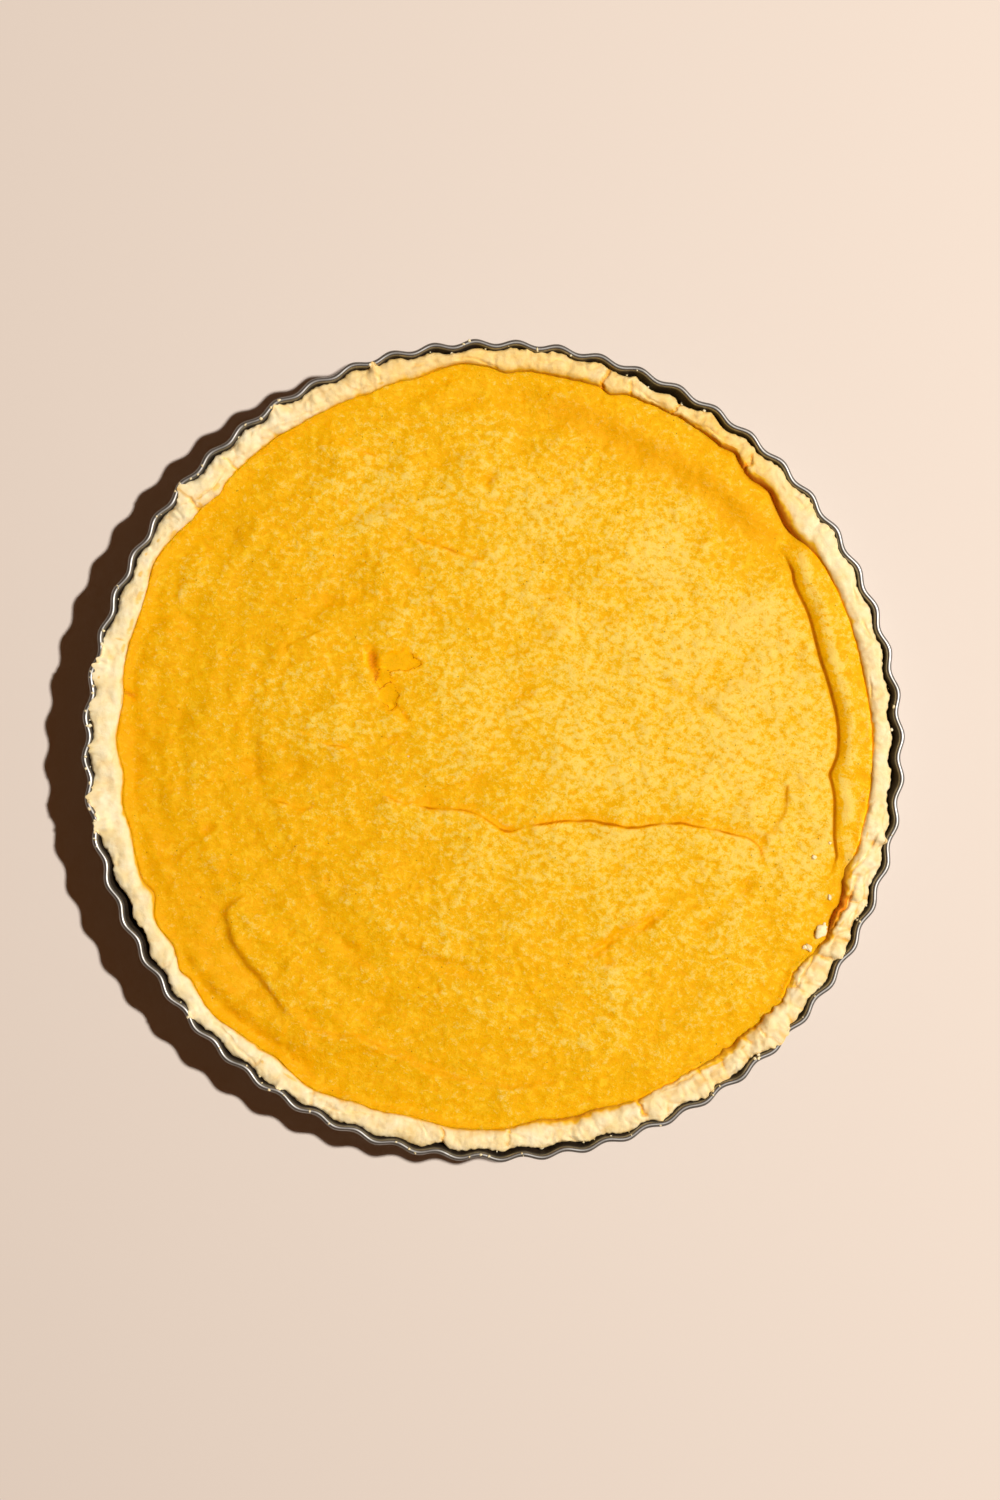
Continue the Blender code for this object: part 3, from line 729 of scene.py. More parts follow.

# %% [markdown]
# ### All the marks together
# The height of the top is a sum: long waves, thin ridges left by the strokes, each mark of the tables,
# the roll, and a fine grain. The same function says how torn each point is and how much painted shade
# its cracks, pits and shadowed feet get, because these follow the marks. It takes any points of the plan,
# so that a crumb can ask how high it lies.

# %% Height of the custard's top


def custard_top(x, y):
    """Height of the custard's top over the plan, how wet and how torn it is, and its painted crack shade."""
    plan = np.stack([x, y, np.zeros_like(x)], -1)
    radius = np.hypot(x, y)
    degrees = np.degrees(np.arctan2(y, x)) % 360
    from_edge = edge_radius(degrees) - radius
    wave = 0.5 * noise(plan, 44, 61) + 0.7 * noise(plan, 15, 62)
    swirl = np.stack([radius / 7.5, np.radians(degrees) * radius / 40, np.zeros_like(x)], -1)
    wave += 0.6 * noise(swirl, 1, 63) * smooth(45, 85, radius) * smooth(70, -30, x)
    slant = np.stack([(x * 0.87 + y * 0.5) / 30, (y * 0.87 - x * 0.5) / 7.5, np.zeros_like(x)], -1)
    wave += 0.8 * noise(slant, 1, 64) * smooth(60, -20, x - 0.4 * y)
    low_slant = np.stack([(x * 0.8 + y * 0.6) / 34, (y * 0.8 - x * 0.6) / 10, np.ones_like(x)], -1)
    wave += 0.6 * noise(low_slant, 1, 69) * smooth(-60, 30, x - 0.4 * y)
    stroke = np.stack([(x * 0.94 + y * 0.34) / 15, (y * 0.94 - x * 0.34) / 4.5, np.zeros_like(x)], -1)
    ridges = smooth(0.16, 0.0, np.abs(noise(stroke, 1, 73))) * smooth(-0.1, 0.4, noise(plan, 19, 74))
    relief = 0.3 * ridges * smooth(70, 10, x)
    crack_shade = np.zeros_like(x)
    warped = wander(x, y)
    uneven = np.clip(0.85 + 0.9 * noise(plan, 7, 91), 0.25, 1.5)
    for corners, high, drop, high_width, low_width, half, foot_shade in STEPS:
        near, away, share, _ = beside(*warped, corners, 24)
        fade = fade_ends(share, 0.05 if half < 2 else 0.15) * (uneven[near] if half < 2 else 1)
        climb = smooth(-half, half, away)
        ledge = high * np.exp(-np.abs(away) / high_width) * climb
        ledge -= drop * np.exp(-np.abs(away) / low_width) * (1 - climb)
        relief[near] += fade * ledge
        # Painted shade at the foot of each step.
        crack_shade[near] += fade * np.exp(-(((away + 0.1) / (0.3 + 0.5 * half)) ** 2)) * foot_shade
    for corners, depth, half in GROOVES:
        near, away, share, _ = beside(*warped, corners, 4 * half)
        groove = depth * np.exp(-((away / half) ** 2)) * (0.4 + 0.6 * uneven[near])
        relief[near] -= fade_ends(share, 0.3) * groove
    for px, py, half_x, half_y, tilt, depth in PITS:
        turn = math.radians(tilt)
        u = (x - px) * math.cos(turn) + (y - py) * math.sin(turn)
        v = (y - py) * math.cos(turn) - (x - px) * math.sin(turn)
        hole = np.exp(-(((u / half_x) ** 2 + (v / half_y) ** 2) ** 1.5))
        relief -= depth * hole
        # Painted shade in each pit.
        crack_shade += 0.8 * hole * np.clip(depth, 0, 1.4)
    torn = np.zeros_like(x)
    ragged = 0.5 * noise(plan, 4.0, 71) + 0.3 * noise(plan, 1.8, 72)
    for px, py, half_x, half_y, depth in TEARS:
        out = np.hypot((x - px) / half_x, (y - py) / half_y) + ragged
        inside = 1 - smooth(0.8, 1.2, out)
        torn = np.maximum(torn, inside)
        relief -= depth * inside
        # Painted shade: a brown line along the lower right edge of each torn place, which faces away from the
        # lamp.
        facing = smooth(-0.6, 0.6, (x - px) / half_x - (y - py) / half_y)
        crack_shade += 0.35 * np.exp(-(((out - 1.0) / 0.2) ** 2)) * facing
    outward = radius - roll_foot(degrees)
    roll = roll_height(degrees, outward)
    beside_roll = along_roll(degrees, 2)
    # Painted shadow at the foot of the roll and on its flank, which faces away from the lamp.
    crack_shade += 1.3 * beside_roll * np.exp(-(((outward - 0.25) / 0.65) ** 2))
    crack_shade += 0.3 * beside_roll * np.exp(-(((outward - 1.6) / 1.1) ** 2))
    clear = np.clip(from_edge, 0, None)
    # Painted shadow of the pastry rim where the rim's inner edge faces away from the lamp; the custard is
    # also lowered there.
    contact = np.clip(swell(BROWNED_AND_SHADED, degrees), 0, 1) * np.exp(-((clear / 1.5) ** 2))
    crack_shade += 0.75 * contact
    relief -= 1.4 * contact
    grain = 0.26 * noise(plan, 6.5, 65) + 0.22 * noise(plan, 3.4, 66) + 0.15 * noise(plan, 1.9, 70)
    relief += roll + grain * (1 - torn) * smooth(0, 4, from_edge)
    soft = 1 - np.clip(2 * swell(BROWNED_AND_SHADED, degrees), 0, 1)
    brim = (0.35 + 0.6 * soft) * np.exp(-clear / 1.2) - 0.25 * np.exp(-(((from_edge - 3) / 2.2) ** 2))
    return FILL_LEVEL + wave + relief + brim, relief + 0.5 * wave, torn, np.clip(crack_shade, 0, 1)

# %% [markdown]
# ### A grid for a round top
# A square grid becomes a disc when each of its squares, from the middle outwards, becomes a ring. Its
# rows are drawn together along the foot of the roll and along the creases, because a sharp step needs
# points closer than the 0.86 mm that the rest of the grid has.

# %% Lay the grid of the top
FILL_CELLS = 298
EDGE_OVERLAP = 0.25
FOOT_ROW = 137  # the row of the square grid, counted from its middle, that runs along the foot of the roll
foot_row = FOOT_ROW / (FILL_CELLS / 2)
line = np.linspace(-1, 1, FILL_CELLS + 1)
a, b = np.meshgrid(line, line, indexing="xy")
wide = np.abs(a) > np.abs(b)
safe_a, safe_b = np.where(a == 0, 1, a), np.where(b == 0, 1, b)
reach = np.where(wide, a, b)
heading = np.where(wide, np.pi / 4 * b / safe_a, np.pi / 2 - np.pi / 4 * a / safe_b)
heading = np.degrees(np.where(reach < 0, heading + np.pi, heading)) % 360
reach = np.abs(reach)
edge = edge_radius(heading) + EDGE_OVERLAP
foot = roll_foot(heading)
inner_share = np.clip((foot_row - reach) / foot_row, 0, 1)
outer_share = np.clip((reach - foot_row) / (1 - foot_row), 0, 1)
up_to_foot = foot * (1 - inner_share * (1 - 0.62 * np.exp(-inner_share / 0.03)))
past_foot = foot + (edge - foot) * outer_share**1.35
gathered = np.where(reach < foot_row, up_to_foot, past_foot)
follow = along_roll(heading, 14)
disc = reach * edge * (1 - follow) + gathered * follow
fill_x, fill_y = draw_in(disc * np.cos(np.radians(heading)), disc * np.sin(np.radians(heading)))
fill_z, fill_relief, fill_torn, fill_crack_shade = custard_top(fill_x, fill_y)
top = np.stack([fill_x, fill_y, fill_z], -1)
print("custard top from", round(fill_z.min(), 1), "to", round(fill_z.max(), 1), "mm")

# %% [markdown]
# ### The hidden part
# Below its top the custard fills the case. Nobody sees that side, so two rings and a pole close it, and
# the solid is whole for anyone who cuts a slice.

# %% Close the custard below and build it
SKIRT_HEIGHT = 14.0
UNDER_HEIGHT = CASE_FLOOR_TOP + 0.3
size = FILL_CELLS + 1
index = np.arange(size * size).reshape(size, size)
quads = np.stack([index[:-1, :-1], index[:-1, 1:], index[1:, 1:], index[1:, :-1]], -1).reshape(-1, 4)
border = np.concatenate([index[0, :-1], index[:-1, -1], index[-1, :0:-1], index[:0:-1, 0]])
rim_points = top.reshape(-1, 3)[border]
border_angle = np.degrees(np.arctan2(rim_points[:, 1], rim_points[:, 0]))
skirt = [
    on_plan(FOOT_RADIUS + 2.0, border_angle, SKIRT_HEIGHT),
    on_plan(FOOT_RADIUS - 0.5, border_angle, UNDER_HEIGHT),
]
around = len(border)
first, second = size * size, size * size + around
pole = size * size + 2 * around
rows = [border, first + np.arange(around), second + np.arange(around)]
walls = [np.stack([u, v, np.roll(v, -1), np.roll(u, -1)], -1) for u, v in zip(rows[:-1], rows[1:])]
under = np.stack([rows[2], np.full(around, pole), np.roll(rows[2], -1)], -1)
points = np.concatenate([top.reshape(-1, 3), *skirt, [(0, 0, UNDER_HEIGHT)]])
custard = make_piece("custard_filling", points, np.concatenate([quads, *walls]), under)

# %% [markdown]
# ### Dry and wet skin, painted sheen and painted shade
# High ridges dry first and the band along the pastry stays wet. The pale flecks are also laid thicker
# towards the right and the top, and on the crest of the roll, as a painted sheen where the lamp's light
# falls. Slopes and hollows, and the valley at the upper right, are painted a deeper orange as painted
# shade, the valley also as wetter custard. These are sums of soft steps, stored on the points for the
# material, where a painted mask would have to be redone after every change of shape.

# %% Where the custard is dry, wet, torn, and painted with sheen and shade
# Width of the wet band along the pastry at each of these angles, in mm.
WET_BAND = (
    (0, 11), (25, 13), (33, 24), (50, 24), (70, 18), (88, 14), (110, 9), (150, 8), (200, 10), (235, 13),
    (262, 14), (285, 9), (315, 8), (345, 7), (360, 11),
)
from_edge = edge_radius(heading) - np.hypot(fill_x, fill_y)
band = np.interp(heading, *np.array(WET_BAND).T) * (1 + 0.25 * noise(top, 13, 82))
# Pale flecks thicken towards the right and the top: partly dry skin, partly painted sheen of the lamp.
from_palest = np.hypot((fill_x - 88) / 1.3, fill_y - 12)
dry_and_sheen = 0.81 - from_palest / 172 + 0.24 * noise(top * (1, 1, 0), 26, 81)
dry_and_sheen += 0.4 * np.clip(fill_relief, -1, 0.8)
along_stroke, over_stroke = fill_x * 0.94 + fill_y * 0.34, fill_y * 0.94 - fill_x * 0.34
strokes = np.stack([along_stroke / 22, over_stroke / 5, 0 * fill_x], -1)
dry_and_sheen += 0.14 * noise(strokes, 1, 84) + 0.17 * smooth(15, 85, fill_y)
dry_and_sheen = np.clip(dry_and_sheen, 0, 1) * (0.15 + 0.85 * smooth(0.2, 1.5, from_edge / band)) * (1 - fill_torn)
outward = np.hypot(fill_x, fill_y) - roll_foot(heading)
on_roll = along_roll(heading, 3) * smooth(-0.3, 0.2, outward)
# On the roll the pale flecks follow its crest, partly a painted highlight where it faces the lamp.
crest = smooth(2.2, 3.6, outward) * (0.3 + 0.7 * smooth(7.5, 5.5, outward)) * (0.8 + 0.8 * noise(top, 6, 83))
dry_and_sheen = dry_and_sheen * (1 - on_roll) + crest * on_roll
across_grid = np.hypot(np.gradient(fill_x, axis=1), np.gradient(fill_y, axis=1))
down_grid = np.hypot(np.gradient(fill_x, axis=0), np.gradient(fill_y, axis=0))
slope = np.hypot(np.gradient(fill_z, axis=1) / across_grid, np.gradient(fill_z, axis=0) / down_grid)
# Slopes and hollows are painted a deeper orange: painted shade.
wet_and_shade = 0.75 * smooth(0.06, 0.5, slope) + 0.4 * np.clip(-fill_relief, 0, 1)
# A band of wet custard along the pastry at the left.
wet_and_shade += 0.6 * swell(((214, 1.0, 26), (170, 0.4, 14)), heading) * smooth(2.6, 0.6, from_edge / band)
# The valley at the upper right: painted shade, and wetter custard.
valley, away, share, _ = beside(fill_x, fill_y, STEPS[-2][0], 14)
in_valley = np.exp(-(((away + 0.5) / 4.5) ** 2)) * fade_ends(share, 0.12)
wet_and_shade[valley] += 1.3 * in_valley
dry_and_sheen[valley] *= 1 - 0.6 * in_valley
print("steepest slope", round(slope.max(), 2), "share over 0.3:", round((slope > 0.3).mean(), 3))
below = np.zeros(2 * around + 1)
fill_values = {"torn": fill_torn, "crack_shade": fill_crack_shade, "dry_and_sheen": dry_and_sheen, "wet_and_shade": np.clip(wet_and_shade, 0, 1)}
for name, values in fill_values.items():
    give_attribute(custard, name, np.append(values, below))

# %% [markdown]
# ## Crumbs
# Short pastry sheds crumbs on the tin's edge, in the gap and on the custard. Each is a small ball of
# twenty triangles, split twice for the few large ones, pushed in and out by noise and squashed. All of
# one kind are joined in one mesh, made as one array. Scattering with geometry nodes would do as well, but
# its copies would have to be made real, and an array is shorter.

# %% A ball to start from


def ball(splits):
    """An icosahedron whose triangles are split in four and pushed out on to the sphere, splits times."""
    g = (1 + 5**0.5) / 2
    corners = [
        (-1, g, 0), (1, g, 0), (-1, -g, 0), (1, -g, 0), (0, -1, g), (0, 1, g), (0, -1, -g), (0, 1, -g),
        (g, 0, -1), (g, 0, 1), (-g, 0, -1), (-g, 0, 1),
    ]
    faces = [
        (0, 11, 5), (0, 5, 1), (0, 1, 7), (0, 7, 10), (0, 10, 11), (1, 5, 9), (5, 11, 4), (11, 10, 2),
        (10, 7, 6), (7, 1, 8), (3, 9, 4), (3, 4, 2), (3, 2, 6), (3, 6, 8), (3, 8, 9), (4, 9, 5),
        (2, 4, 11), (6, 2, 10), (8, 6, 7), (9, 8, 1),
    ]
    points, triangles = np.array(corners, float), np.array(faces)
    for _ in range(splits):
        edges = np.sort(triangles[:, [[0, 1], [1, 2], [2, 0]]].reshape(-1, 2), 1)
        unique, where = np.unique(edges, axis=0, return_inverse=True)
        where = where.reshape(-1, 3) + len(points)
        points = np.concatenate([points, points[unique].mean(1)])
        p, q, r = triangles.T
        s, t, u = where.T
        triangles = np.concatenate([np.stack(c, -1) for c in ((p, s, u), (s, q, t), (u, t, r), (s, t, u))])
    return points / np.linalg.norm(points, axis=1, keepdims=True), triangles


def scatter(name, centres, sizes, splits, seed, height=1.0):
    """One mesh of crumbs: each ball is made uneven by noise, stretched, turned and moved to its centre."""
    generator = np.random.default_rng(seed)
    points, triangles = ball(splits)
    count = len(centres)
    offsets = generator.uniform(-50, 50, (count, 1, 3))
    uneven = 1 + 0.5 * noise(points[None] * 1.1 + offsets, 1.0, seed)
    stretch = generator.uniform(0.55, 1.25, (count, 1, 3))
    lumps = points[None] * uneven[..., None] * stretch * np.array(sizes)[:, None, None] / 2
    turns, _ = np.linalg.qr(generator.normal(size=(count, 3, 3)))
    turns[np.linalg.det(turns) < 0] *= -1
    lumps = lumps @ turns * (1, 1, height) + np.array(centres)[:, None]
    faces = triangles[None] + (np.arange(count) * len(points))[:, None, None]
    return make_piece(name, lumps.reshape(-1, 3), faces.reshape(-1, 3))

# %% Crumbs on the tin's edge and in the gap
# Stretches of the rim that carry crumbs: from angle, to angle, how many on the bead, how many in the gap.
CRUMB_STRETCHES = (
    (0, 10, 1, 4), (58, 76, 1, 10), (78, 102, 3, 8), (118, 146, 8, 6), (150, 160, 2, 2), (160, 196, 26, 14),
    (218, 242, 5, 6), (255, 300, 5, 12), (310, 318, 8, 4), (318, 348, 4, 22),
)
# Larger flakes that lie on the bead: angle, distance out from its middle, size.
FLAKES = (
    (93.4, 0.5, 1.5), (94.2, 0.2, 1.0), (107.8, -0.2, 1.3), (121.5, 0.2, 1.4), (123, -0.2, 1.2),
    (139.6, 0.3, 1.6), (140.8, 0.5, 1.0), (171.8, 0, 1.2), (174.5, 0.2, 1.4), (176.5, 0, 1.0),
    (182.5, 0.3, 1.5), (184.6, 0.2, 1.3), (188.2, 0.3, 1.5), (190.2, 0.4, 1.6), (191.6, 0.2, 1.2),
    (192.4, 0.3, 0.9), (193.6, 0.1, 0.9), (221.1, 0.3, 1.5), (236.5, 0.4, 1.1), (243, 0.1, 1.3),
    (246.2, 0, 0.8), (256, -0.2, 1.2), (259, 0.4, 1.0), (266.6, 0.1, 1.4), (268.2, 0, 1.5),
    (269.4, -0.3, 1.2), (274.2, 0.6, 0.6), (294, 0.4, 1.2), (302.5, 0, 0.9), (304, -0.4, 1.0),
    (335, -0.5, 0.9), (348, 0, 0.7),
)
dice = np.random.default_rng(7)
crumb_centres, crumb_sizes = [], []
for start, end, on_bead, in_gap in CRUMB_STRETCHES:
    angle = dice.uniform(start, end, on_bead + in_gap)
    crumb_size = dice.uniform(0.4, 1.0, on_bead + in_gap) * dice.choice((1, 1, 1.6), on_bead + in_gap)
    bead_middle = WALL_TOP + BEAD_RADIUS + flute(angle) + out_of_round(angle)
    bead_radius = bead_middle + dice.normal(-0.5, 0.45, on_bead + in_gap)
    off_top = np.clip(np.abs(bead_radius - bead_middle) / BEAD_RADIUS, 0, 0.95)
    bead_height = BEAD_HEIGHT + BEAD_RADIUS * np.sqrt(1 - off_top**2) + 0.15 * crumb_size
    gap_radius = outer_radius(angle) + dice.uniform(-0.3, 0.5, on_bead + in_gap)
    gap_height = dice.uniform(24.5, 28.0, on_bead + in_gap)
    lies_on_bead = np.arange(on_bead + in_gap) < on_bead
    crumb_radius = np.where(lies_on_bead, bead_radius, gap_radius)
    crumb_height = np.where(lies_on_bead, bead_height, gap_height)
    crumb_centres += list(on_plan(crumb_radius, angle, crumb_height))
    crumb_sizes += list(crumb_size)
flake_angle, flake_out, flake_size = np.array(FLAKES).T
flake_radius = WALL_TOP + BEAD_RADIUS + flute(flake_angle) + out_of_round(flake_angle) + flake_out
flake_height = TIN_HEIGHT + 0.1 * flake_size - 0.2 * np.abs(flake_out)
crumb_centres += list(on_plan(flake_radius, flake_angle, flake_height))
crumb_sizes += list(flake_size)
top_limit = CRUST_TOP - 0.1
crumb_centres = np.array(crumb_centres)
crumb_centres[:, 2] = np.minimum(crumb_centres[:, 2], top_limit - 0.6 * np.array(crumb_sizes))
crumbs = scatter("pastry_crumbs", crumb_centres, crumb_sizes, 0, 11)

# %% Crumbs on the custard
# Place on the plan and size of each.
LARGE_CRUMBS = (
    (111.2, -61.6, 3.6), (112.6, -60.0, 2.4), (107.2, -67.2, 2.8), (105.8, -66.8, 1.6), (114.3, -50.0, 1.7),
    (108.9, -36.2, 1.6), (114.3, -31.4, 1.0), (119.1, -45.2, 0.9), (112.5, -59.0, 0.9), (-29.0, -2.0, 0.6),
)
place = np.array(LARGE_CRUMBS)
level, *_ = custard_top(place[:, 0], place[:, 1])
centres = np.column_stack([place[:, :2], level + 0.16 * place[:, 2]])
large_crumbs = scatter("large_crumbs", centres, place[:, 2], 2, 12, 0.6)

# %% [markdown]
# ## Materials
# Colours are written as on a colour picker, in sRGB, and turned to the linear values that light adds up
# in. One small function adds any node, with its settings and its links. Patterns take their scale from a
# real size: a noise texture on Object coordinates, which are in metres, has a scale of one over the size
# of its grain. Baked food takes its colour in layers, so most of each material is a list of coats, each
# laid where one pattern is strong.

# %% Tools for materials
# Sockets of a Mix node that mixes colours, by number, because its kinds share their names.
AMOUNT, UNDER, OVER, MIXED = 0, 6, 7, 2


def linear(code):
    """An sRGB hex colour as linear red, green and blue, and an alpha of 1."""
    channels = [int(code[k : k + 2], 16) / 255 for k in (1, 3, 5)]
    return (*(c / 12.92 if c <= 0.04045 else ((c + 0.055) / 1.055) ** 2.4 for c in channels), 1.0)


def new_material(name):
    """A new material, and its Principled shader."""
    material = bpy.data.materials.new(name)
    material.use_nodes = True
    return material, material.node_tree.nodes["Principled BSDF"]


def connect(material, node, inputs):
    """Fills in a node's sockets: another node's output is linked, and any other value is set."""
    for socket, value in inputs.items():
        if isinstance(value, bpy.types.NodeSocket):
            material.node_tree.links.new(value, node.inputs[socket])
        else:
            node.inputs[socket].default_value = value


def add(material, kind, output, inputs=None, **settings):
    """Adds one node with its settings and links, and gives back the output that is asked for."""
    node = material.node_tree.nodes.new("ShaderNode" + kind)
    for name, value in settings.items():
        setattr(node, name, value)
    connect(material, node, inputs or {})
    return node.outputs[output]


def coat(material, colour, coats):
    """Lays coats over a colour. Each is a pattern, the value at which it starts, the value at which it
    covers, and the colour that it brings."""
    for pattern, starts, covers, over in coats:
        spread = {"Value": pattern, "From Min": starts, "From Max": covers}
        share = add(material, "MapRange", "Result", spread)
        layer = {AMOUNT: share, UNDER: colour, OVER: over}
        colour = add(material, "Mix", MIXED, layer, data_type="RGBA")
    return colour


def overlap(material, patterns):
    """Where several patterns are all strong: the product of each one, stretched from low to high."""
    product = 1.0
    for pattern, low, high in patterns:
        spread = {"Value": pattern, "From Min": low, "From Max": high}
        share = add(material, "MapRange", "Result", spread)
        product = add(material, "Math", 0, {0: product, 1: share}, operation="MULTIPLY")
    return product


def count_nodes(material):
    """Prints how many nodes a material has come to."""
    print(material.name, "has", len(material.node_tree.nodes), "nodes")

# %% [markdown]
# ### Tinned steel
# The tin is cold-rolled steel with a thin coat of tin, pressed and rolled. Ovens turn it a soft grey: it
# still mirrors the light along the bead, but the inner wall is dark, partly where butter has baked on and
# partly as painted shade of the narrow gap beside the pastry. It is a metal of middle roughness, and an
# attribute carries the dark film, baked-on butter and painted shade together, down the inside. An image
# of scratches would look finer close to, and it would need the wall to be unwrapped.

# %% Tinned steel
steel, shader = new_material("tinned_steel_aged")
where = add(steel, "TexCoord", "Object")
cloud = add(steel, "TexNoise", "Fac", {"Vector": where, "Scale": 1 / (6.0 * MM), "Detail": 3})
grit = add(steel, "TexNoise", "Fac", {"Vector": where, "Scale": 1 / (0.7 * MM), "Detail": 2})
film = add(steel, "Attribute", "Fac", attribute_name="baked_on_and_shade")
metal = coat(steel, linear("#acacaa"), [(cloud, 0.35, 0.7, linear("#8a8985"))])
# Dark film of the inner wall: baked-on butter, and painted shade of the narrow gap.
burnt_and_shade = coat(steel, linear("#241c12"), [(grit, 0.4, 0.75, linear("#4a3a26"))])
dull = add(steel, "Math", 0, {0: cloud, 1: film}, operation="ADD")
polish = {"Value": dull, "From Min": 0.2, "From Max": 1.5, "To Min": 0.4, "To Max": 0.62}
connect(steel, shader, {
    "Base Color": coat(steel, metal, [(film, 0, 1, burnt_and_shade)]),
    "Metallic": add(steel, "MapRange", "Result", {"Value": film, "To Min": 1.0, "To Max": 0.25}),
    "Roughness": add(steel, "MapRange", "Result", polish),
    "Normal": add(steel, "Bump", "Normal", {"Height": grit, "Distance": 0.05 * MM, "Strength": 0.35}),
})
tin.data.materials.append(steel)
count_nodes(steel)

# %% [markdown]
# ### Shortcrust
# Baked shortcrust scatters light in its flour and fat, so it is matt and creamy, with a blush of gold
# where it is thin or high. Its pores are about half a millimetre. The creases are painted a deeper gold,
# which is painted shade. Splashes of custard lie on it, and at the inner foot a coat of custard, partly
# real and partly painted shade, ends in a brown line of painted shadow under the rim.

# %% Shortcrust
pastry, shader = new_material("baked_shortcrust")
where = add(pastry, "TexCoord", "Object")
scale = {"Vector": where, "Scale": 1 / (5.0 * MM)}
patches = add(pastry, "TexNoise", "Fac", scale | {"Detail": 4, "Roughness": 0.6})
scale = {"Vector": where, "Scale": 1 / (0.7 * MM)}
pores = add(pastry, "TexNoise", "Fac", scale | {"Detail": 3, "Roughness": 0.65})
flour = add(pastry, "TexNoise", "Fac", {"Vector": where, "Scale": 1 / (0.3 * MM), "Detail": 2})
toast_and_shade_mask = add(pastry, "Attribute", "Fac", attribute_name="toast_and_shade")
# Painted shade of the creases, joins and steep inner flank, read from the points.
folds = add(pastry, "Attribute", "Fac", attribute_name="crease_shade")
# Custard on the pastry: splashes, and a coat at the inner foot that is partly painted shadow.
smear_and_shade = add(pastry, "Attribute", "Fac", attribute_name="custard")
# Gold where the top is toasted, and painted shade on the inner edge.
toast_and_shade_share = add(pastry, "Math", 0, {0: patches, 1: 0.5, 2: toast_and_shade_mask}, operation="MULTIPLY_ADD")
cream = coat(pastry, linear("#fdf2cc"), [(patches, 0.35, 0.7, linear("#fbe8b0"))])
gold = coat(pastry, linear("#f6c760"), [(pores, 0.3, 0.75, linear("#f8d680"))])
fine = add(pastry, "Bump", "Normal", {"Height": flour, "Distance": 0.12 * MM, "Strength": 0.4})
coarse = {"Height": pores, "Distance": 0.35 * MM, "Strength": 0.45, "Normal": fine}
shader.subsurface_method = "BURLEY"
connect(pastry, shader, {
    "Base Color": coat(pastry, cream, [
        (toast_and_shade_share, 0.2, 1.3, gold),
        # Painted shade: a deeper gold in the creases and on the steep inner flank.
        (folds, 0.15, 1.9, linear("#e3ae4c")),
        (smear_and_shade, 0, 1, linear("#f2bc20")),
        # Painted shadow: the brown line at the inner foot, where the edge faces away from the lamp.
        (smear_and_shade, 1.0, 1.9, linear("#d88410")),
    ]),
    "Roughness": 0.78,
    "IOR": 1.45,
    "Specular IOR Level": 0.3,
    "Subsurface Weight": 0.4,
    "Subsurface Radius": (1.0, 0.8, 0.45),
    "Subsurface Scale": 1.8 * MM,
    "Normal": add(pastry, "Bump", "Normal", coarse),
})
for piece in (crust, crumbs, large_crumbs):
    piece.data.materials.append(pastry)
count_nodes(pastry)

# %% [markdown]
# ### Pumpkin custard
# The baked skin is broken: dry flecks, pale as straw, over wet custard of a strong orange yellow. The
# flecks are two to three millimetres across, and they cover more of the right and the top, partly as a
# painted sheen. Hollows and slopes are painted a deeper orange, as painted shade. In a crease the custard
# is painted amber and then brown as painted shade, and a thin brown line of painted shade runs along the
# lower right edge of each torn place, which is smooth inside. Dark specks of spice, a third of a
# millimetre across, are scattered through it.

# %% Patterns of the custard's skin
egg, shader = new_material("pumpkin_custard_baked")
where = add(egg, "TexCoord", "Object")
turned = {"Vector": where, "Rotation": (0, 0, math.radians(25)), "Scale": (0.86, 1, 1)}
stroked = add(egg, "Mapping", "Vector", turned)
scale = {"Vector": stroked, "Scale": 1 / (2.2 * MM)}
fleck = add(egg, "TexNoise", "Fac", scale | {"Detail": 6, "Roughness": 0.66, "Distortion": 0.2})
scale = {"Vector": where, "Scale": 1 / (0.6 * MM)}
fine_fleck = add(egg, "TexNoise", "Fac", scale | {"Detail": 3, "Roughness": 0.6})
scale = {"Vector": where, "Scale": 1 / (3.4 * MM)}
blotch = add(egg, "TexNoise", "Fac", scale | {"Detail": 4, "Roughness": 0.6, "Distortion": 0.8})
fine_part = add(egg, "Math", 0, {0: fine_fleck, 1: 0.28}, operation="MULTIPLY")
skin = add(egg, "Math", 0, {0: fleck, 1: 0.72, 2: fine_part}, operation="MULTIPLY_ADD")
dry_and_sheen_mask = add(egg, "Attribute", "Fac", attribute_name="dry_and_sheen")
wet_and_shade_mask = add(egg, "Attribute", "Fac", attribute_name="wet_and_shade")
tear = add(egg, "Attribute", "Fac", attribute_name="torn")
# Painted shade of the cracks, pits and shadowed feet, read from the points.
crease_shade = add(egg, "Attribute", "Fac", attribute_name="crack_shade")
cover = add(egg, "Math", 0, {0: dry_and_sheen_mask, 1: 0.18, 2: skin}, operation="MULTIPLY_ADD")
# Painted shade along the lower right edge of each torn place.
tear_edge_shade = overlap(egg, [(tear, 0.36, 0.46), (tear, 0.6, 0.5), (crease_shade, 0, 0.25)])
spice = add(egg, "TexVoronoi", "Distance", {"Vector": where, "Scale": 1 / (3.0 * MM), "Randomness": 1.0})
places = add(egg, "TexNoise", "Fac", {"Vector": where, "Scale": 1 / (3.3 * MM), "Detail": 0})
speck = overlap(egg, [(spice, 0.10, 0.04), (places, 0.56, 0.58)])

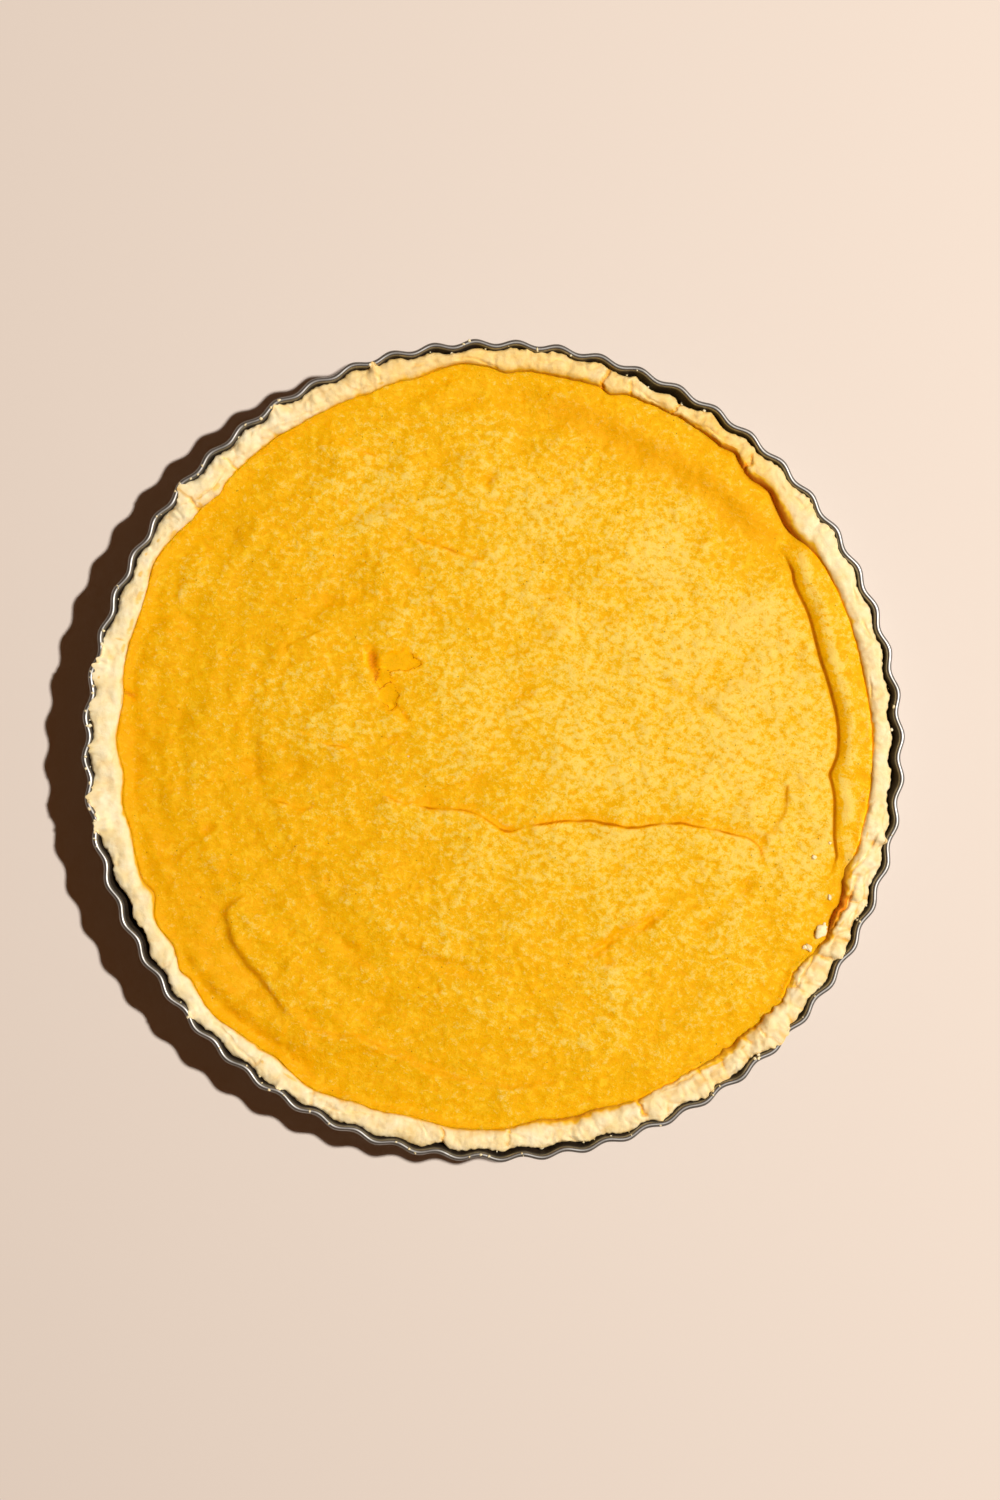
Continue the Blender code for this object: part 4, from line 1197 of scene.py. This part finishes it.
# %% Pumpkin custard
fine = add(egg, "Bump", "Normal", {"Height": fine_fleck, "Distance": 0.3 * MM, "Strength": 0.6})
coarse = {"Height": fleck, "Distance": 0.7 * MM, "Strength": 0.6, "Normal": fine}
sheen = {"Value": skin, "From Min": 0.4, "From Max": 0.75, "To Min": 0.42, "To Max": 0.6}
shader.subsurface_method = "BURLEY"
connect(egg, shader, {
    "Base Color": coat(egg, linear("#f0b600"), [
        # Pale dry skin, laid thicker where the painted sheen of the lamp falls.
        (dry_and_sheen_mask, 0.15, 0.7, linear("#f2c600")),
        (skin, 0.52, 0.36, linear("#eca600")),
        (blotch, 0.52, 0.68, linear("#f8c620")),
        (cover, 0.55, 0.68, linear("#f4d364")),
        # Painted shade: deeper orange on slopes and in hollows, with real wet custard by the pastry.
        (wet_and_shade_mask, 0, 2, linear("#f0a400")),
        (tear, 0.42, 0.56, linear("#f0b200")),
        # Painted shade: amber, then brown, in the cracks, the pits and the shadowed feet.
        (crease_shade, 0.05, 0.8, linear("#e8a400")),
        (crease_shade, 0.45, 1.3, linear("#ac5200")),
        (tear_edge_shade, 0, 1, linear("#b06000")),
        (speck, 0, 4 / 3, linear("#7a4a10")),
    ]),
    "Roughness": add(egg, "MapRange", "Result", sheen),
    "IOR": 1.42,
    "Specular IOR Level": 0.08,
    "Subsurface Weight": 0.65,
    "Subsurface Radius": (1.0, 0.42, 0.1),
    "Subsurface Scale": 3.4 * MM,
    "Normal": add(egg, "Bump", "Normal", coarse),
})
custard.data.materials.append(egg)
count_nodes(egg)

# %% [markdown]
# ## Ride and replace
# Nothing on a pie moves, so every piece rides on the one body. The finished pieces stand for the plain
# solids.

# %% Tell the frame
FINISHED = (
    (tin, "tin", "tinned_steel"),
    (crust, "crust", "shortcrust"),
    (custard, "filling", "pumpkin_custard"),
)
for piece, node, slot in FINISHED:
    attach(piece, "root")
    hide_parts(node)
for piece in (crumbs, large_crumbs):
    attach(piece, "root")

# %% [markdown]
# ## Floor, light and camera
# A pale floor, one lamp from the right and a little from the top, high enough to throw a short shadow,
# and a weak warm light from all round. The camera looks straight down from a metre above the rim.

# %% Floor
FLOOR_HALF = 1500.0
FLOOR_DROP = 0.05  # keeps the floor just clear of the tin
floor_points = np.array([(-1, -1, 0), (1, -1, 0), (1, 1, 0), (-1, 1, 0)]) * FLOOR_HALF - (0, 0, FLOOR_DROP)
floor = make_piece("floor", floor_points, np.array([(0, 1, 2, 3)]))
plaster, shader = new_material("pale_floor")
shader.inputs["Base Color"].default_value = linear("#e4dad1")
shader.inputs["Roughness"].default_value = 0.85
floor.data.materials.append(plaster)

# %% Light
LAMP_AZIMUTH = 10.6
LAMP_ELEVATION = 62.0
LAMP_DISTANCE = 2400.0
LAMP_SIZE = 90.0
LAMP_POWER = 65.5
ROOM_GLOW = 0.085
lamp_data = bpy.data.lights.new("key", "AREA")
lamp_data.shape = "DISK"
lamp_data.size = LAMP_SIZE * MM
lamp_data.energy = LAMP_POWER
lamp_data.color = linear("#fff8f0")[:3]
lamp = bpy.data.objects.new("key", lamp_data)
bpy.context.scene.collection.objects.link(lamp)
up = math.radians(LAMP_ELEVATION)
flat_distance = LAMP_DISTANCE * math.cos(up)
lamp.location = [v * MM for v in (*on_plan(flat_distance, LAMP_AZIMUTH, 0)[:2], LAMP_DISTANCE * math.sin(up))]
lamp.rotation_euler = lamp.location.to_track_quat("Z", "Y").to_euler()
world = bpy.data.worlds.new("room")
world.use_nodes = True
world.node_tree.nodes["Background"].inputs["Color"].default_value = linear("#f5a05b")
world.node_tree.nodes["Background"].inputs["Strength"].default_value = ROOM_GLOW
bpy.context.scene.world = world
bpy.context.scene.view_settings.view_transform = "Standard"

# %% Camera
VIEW_HEIGHT = 508.2  # how much of the rim's plane the long side of the view takes in
CAMERA_HEIGHT = 1000.0
SENSOR = 36.0
CAMERA_OFF_AXIS = (2.2, 0.2)
camera_data = bpy.data.cameras.new("camera")
camera_data.sensor_width = SENSOR
camera_data.lens = SENSOR * CAMERA_HEIGHT / VIEW_HEIGHT
camera = bpy.data.objects.new("camera", camera_data)
camera.location = [v * MM for v in (*CAMERA_OFF_AXIS, TIN_HEIGHT + CAMERA_HEIGHT)]
bpy.context.scene.collection.objects.link(camera)
bpy.context.scene.camera = camera
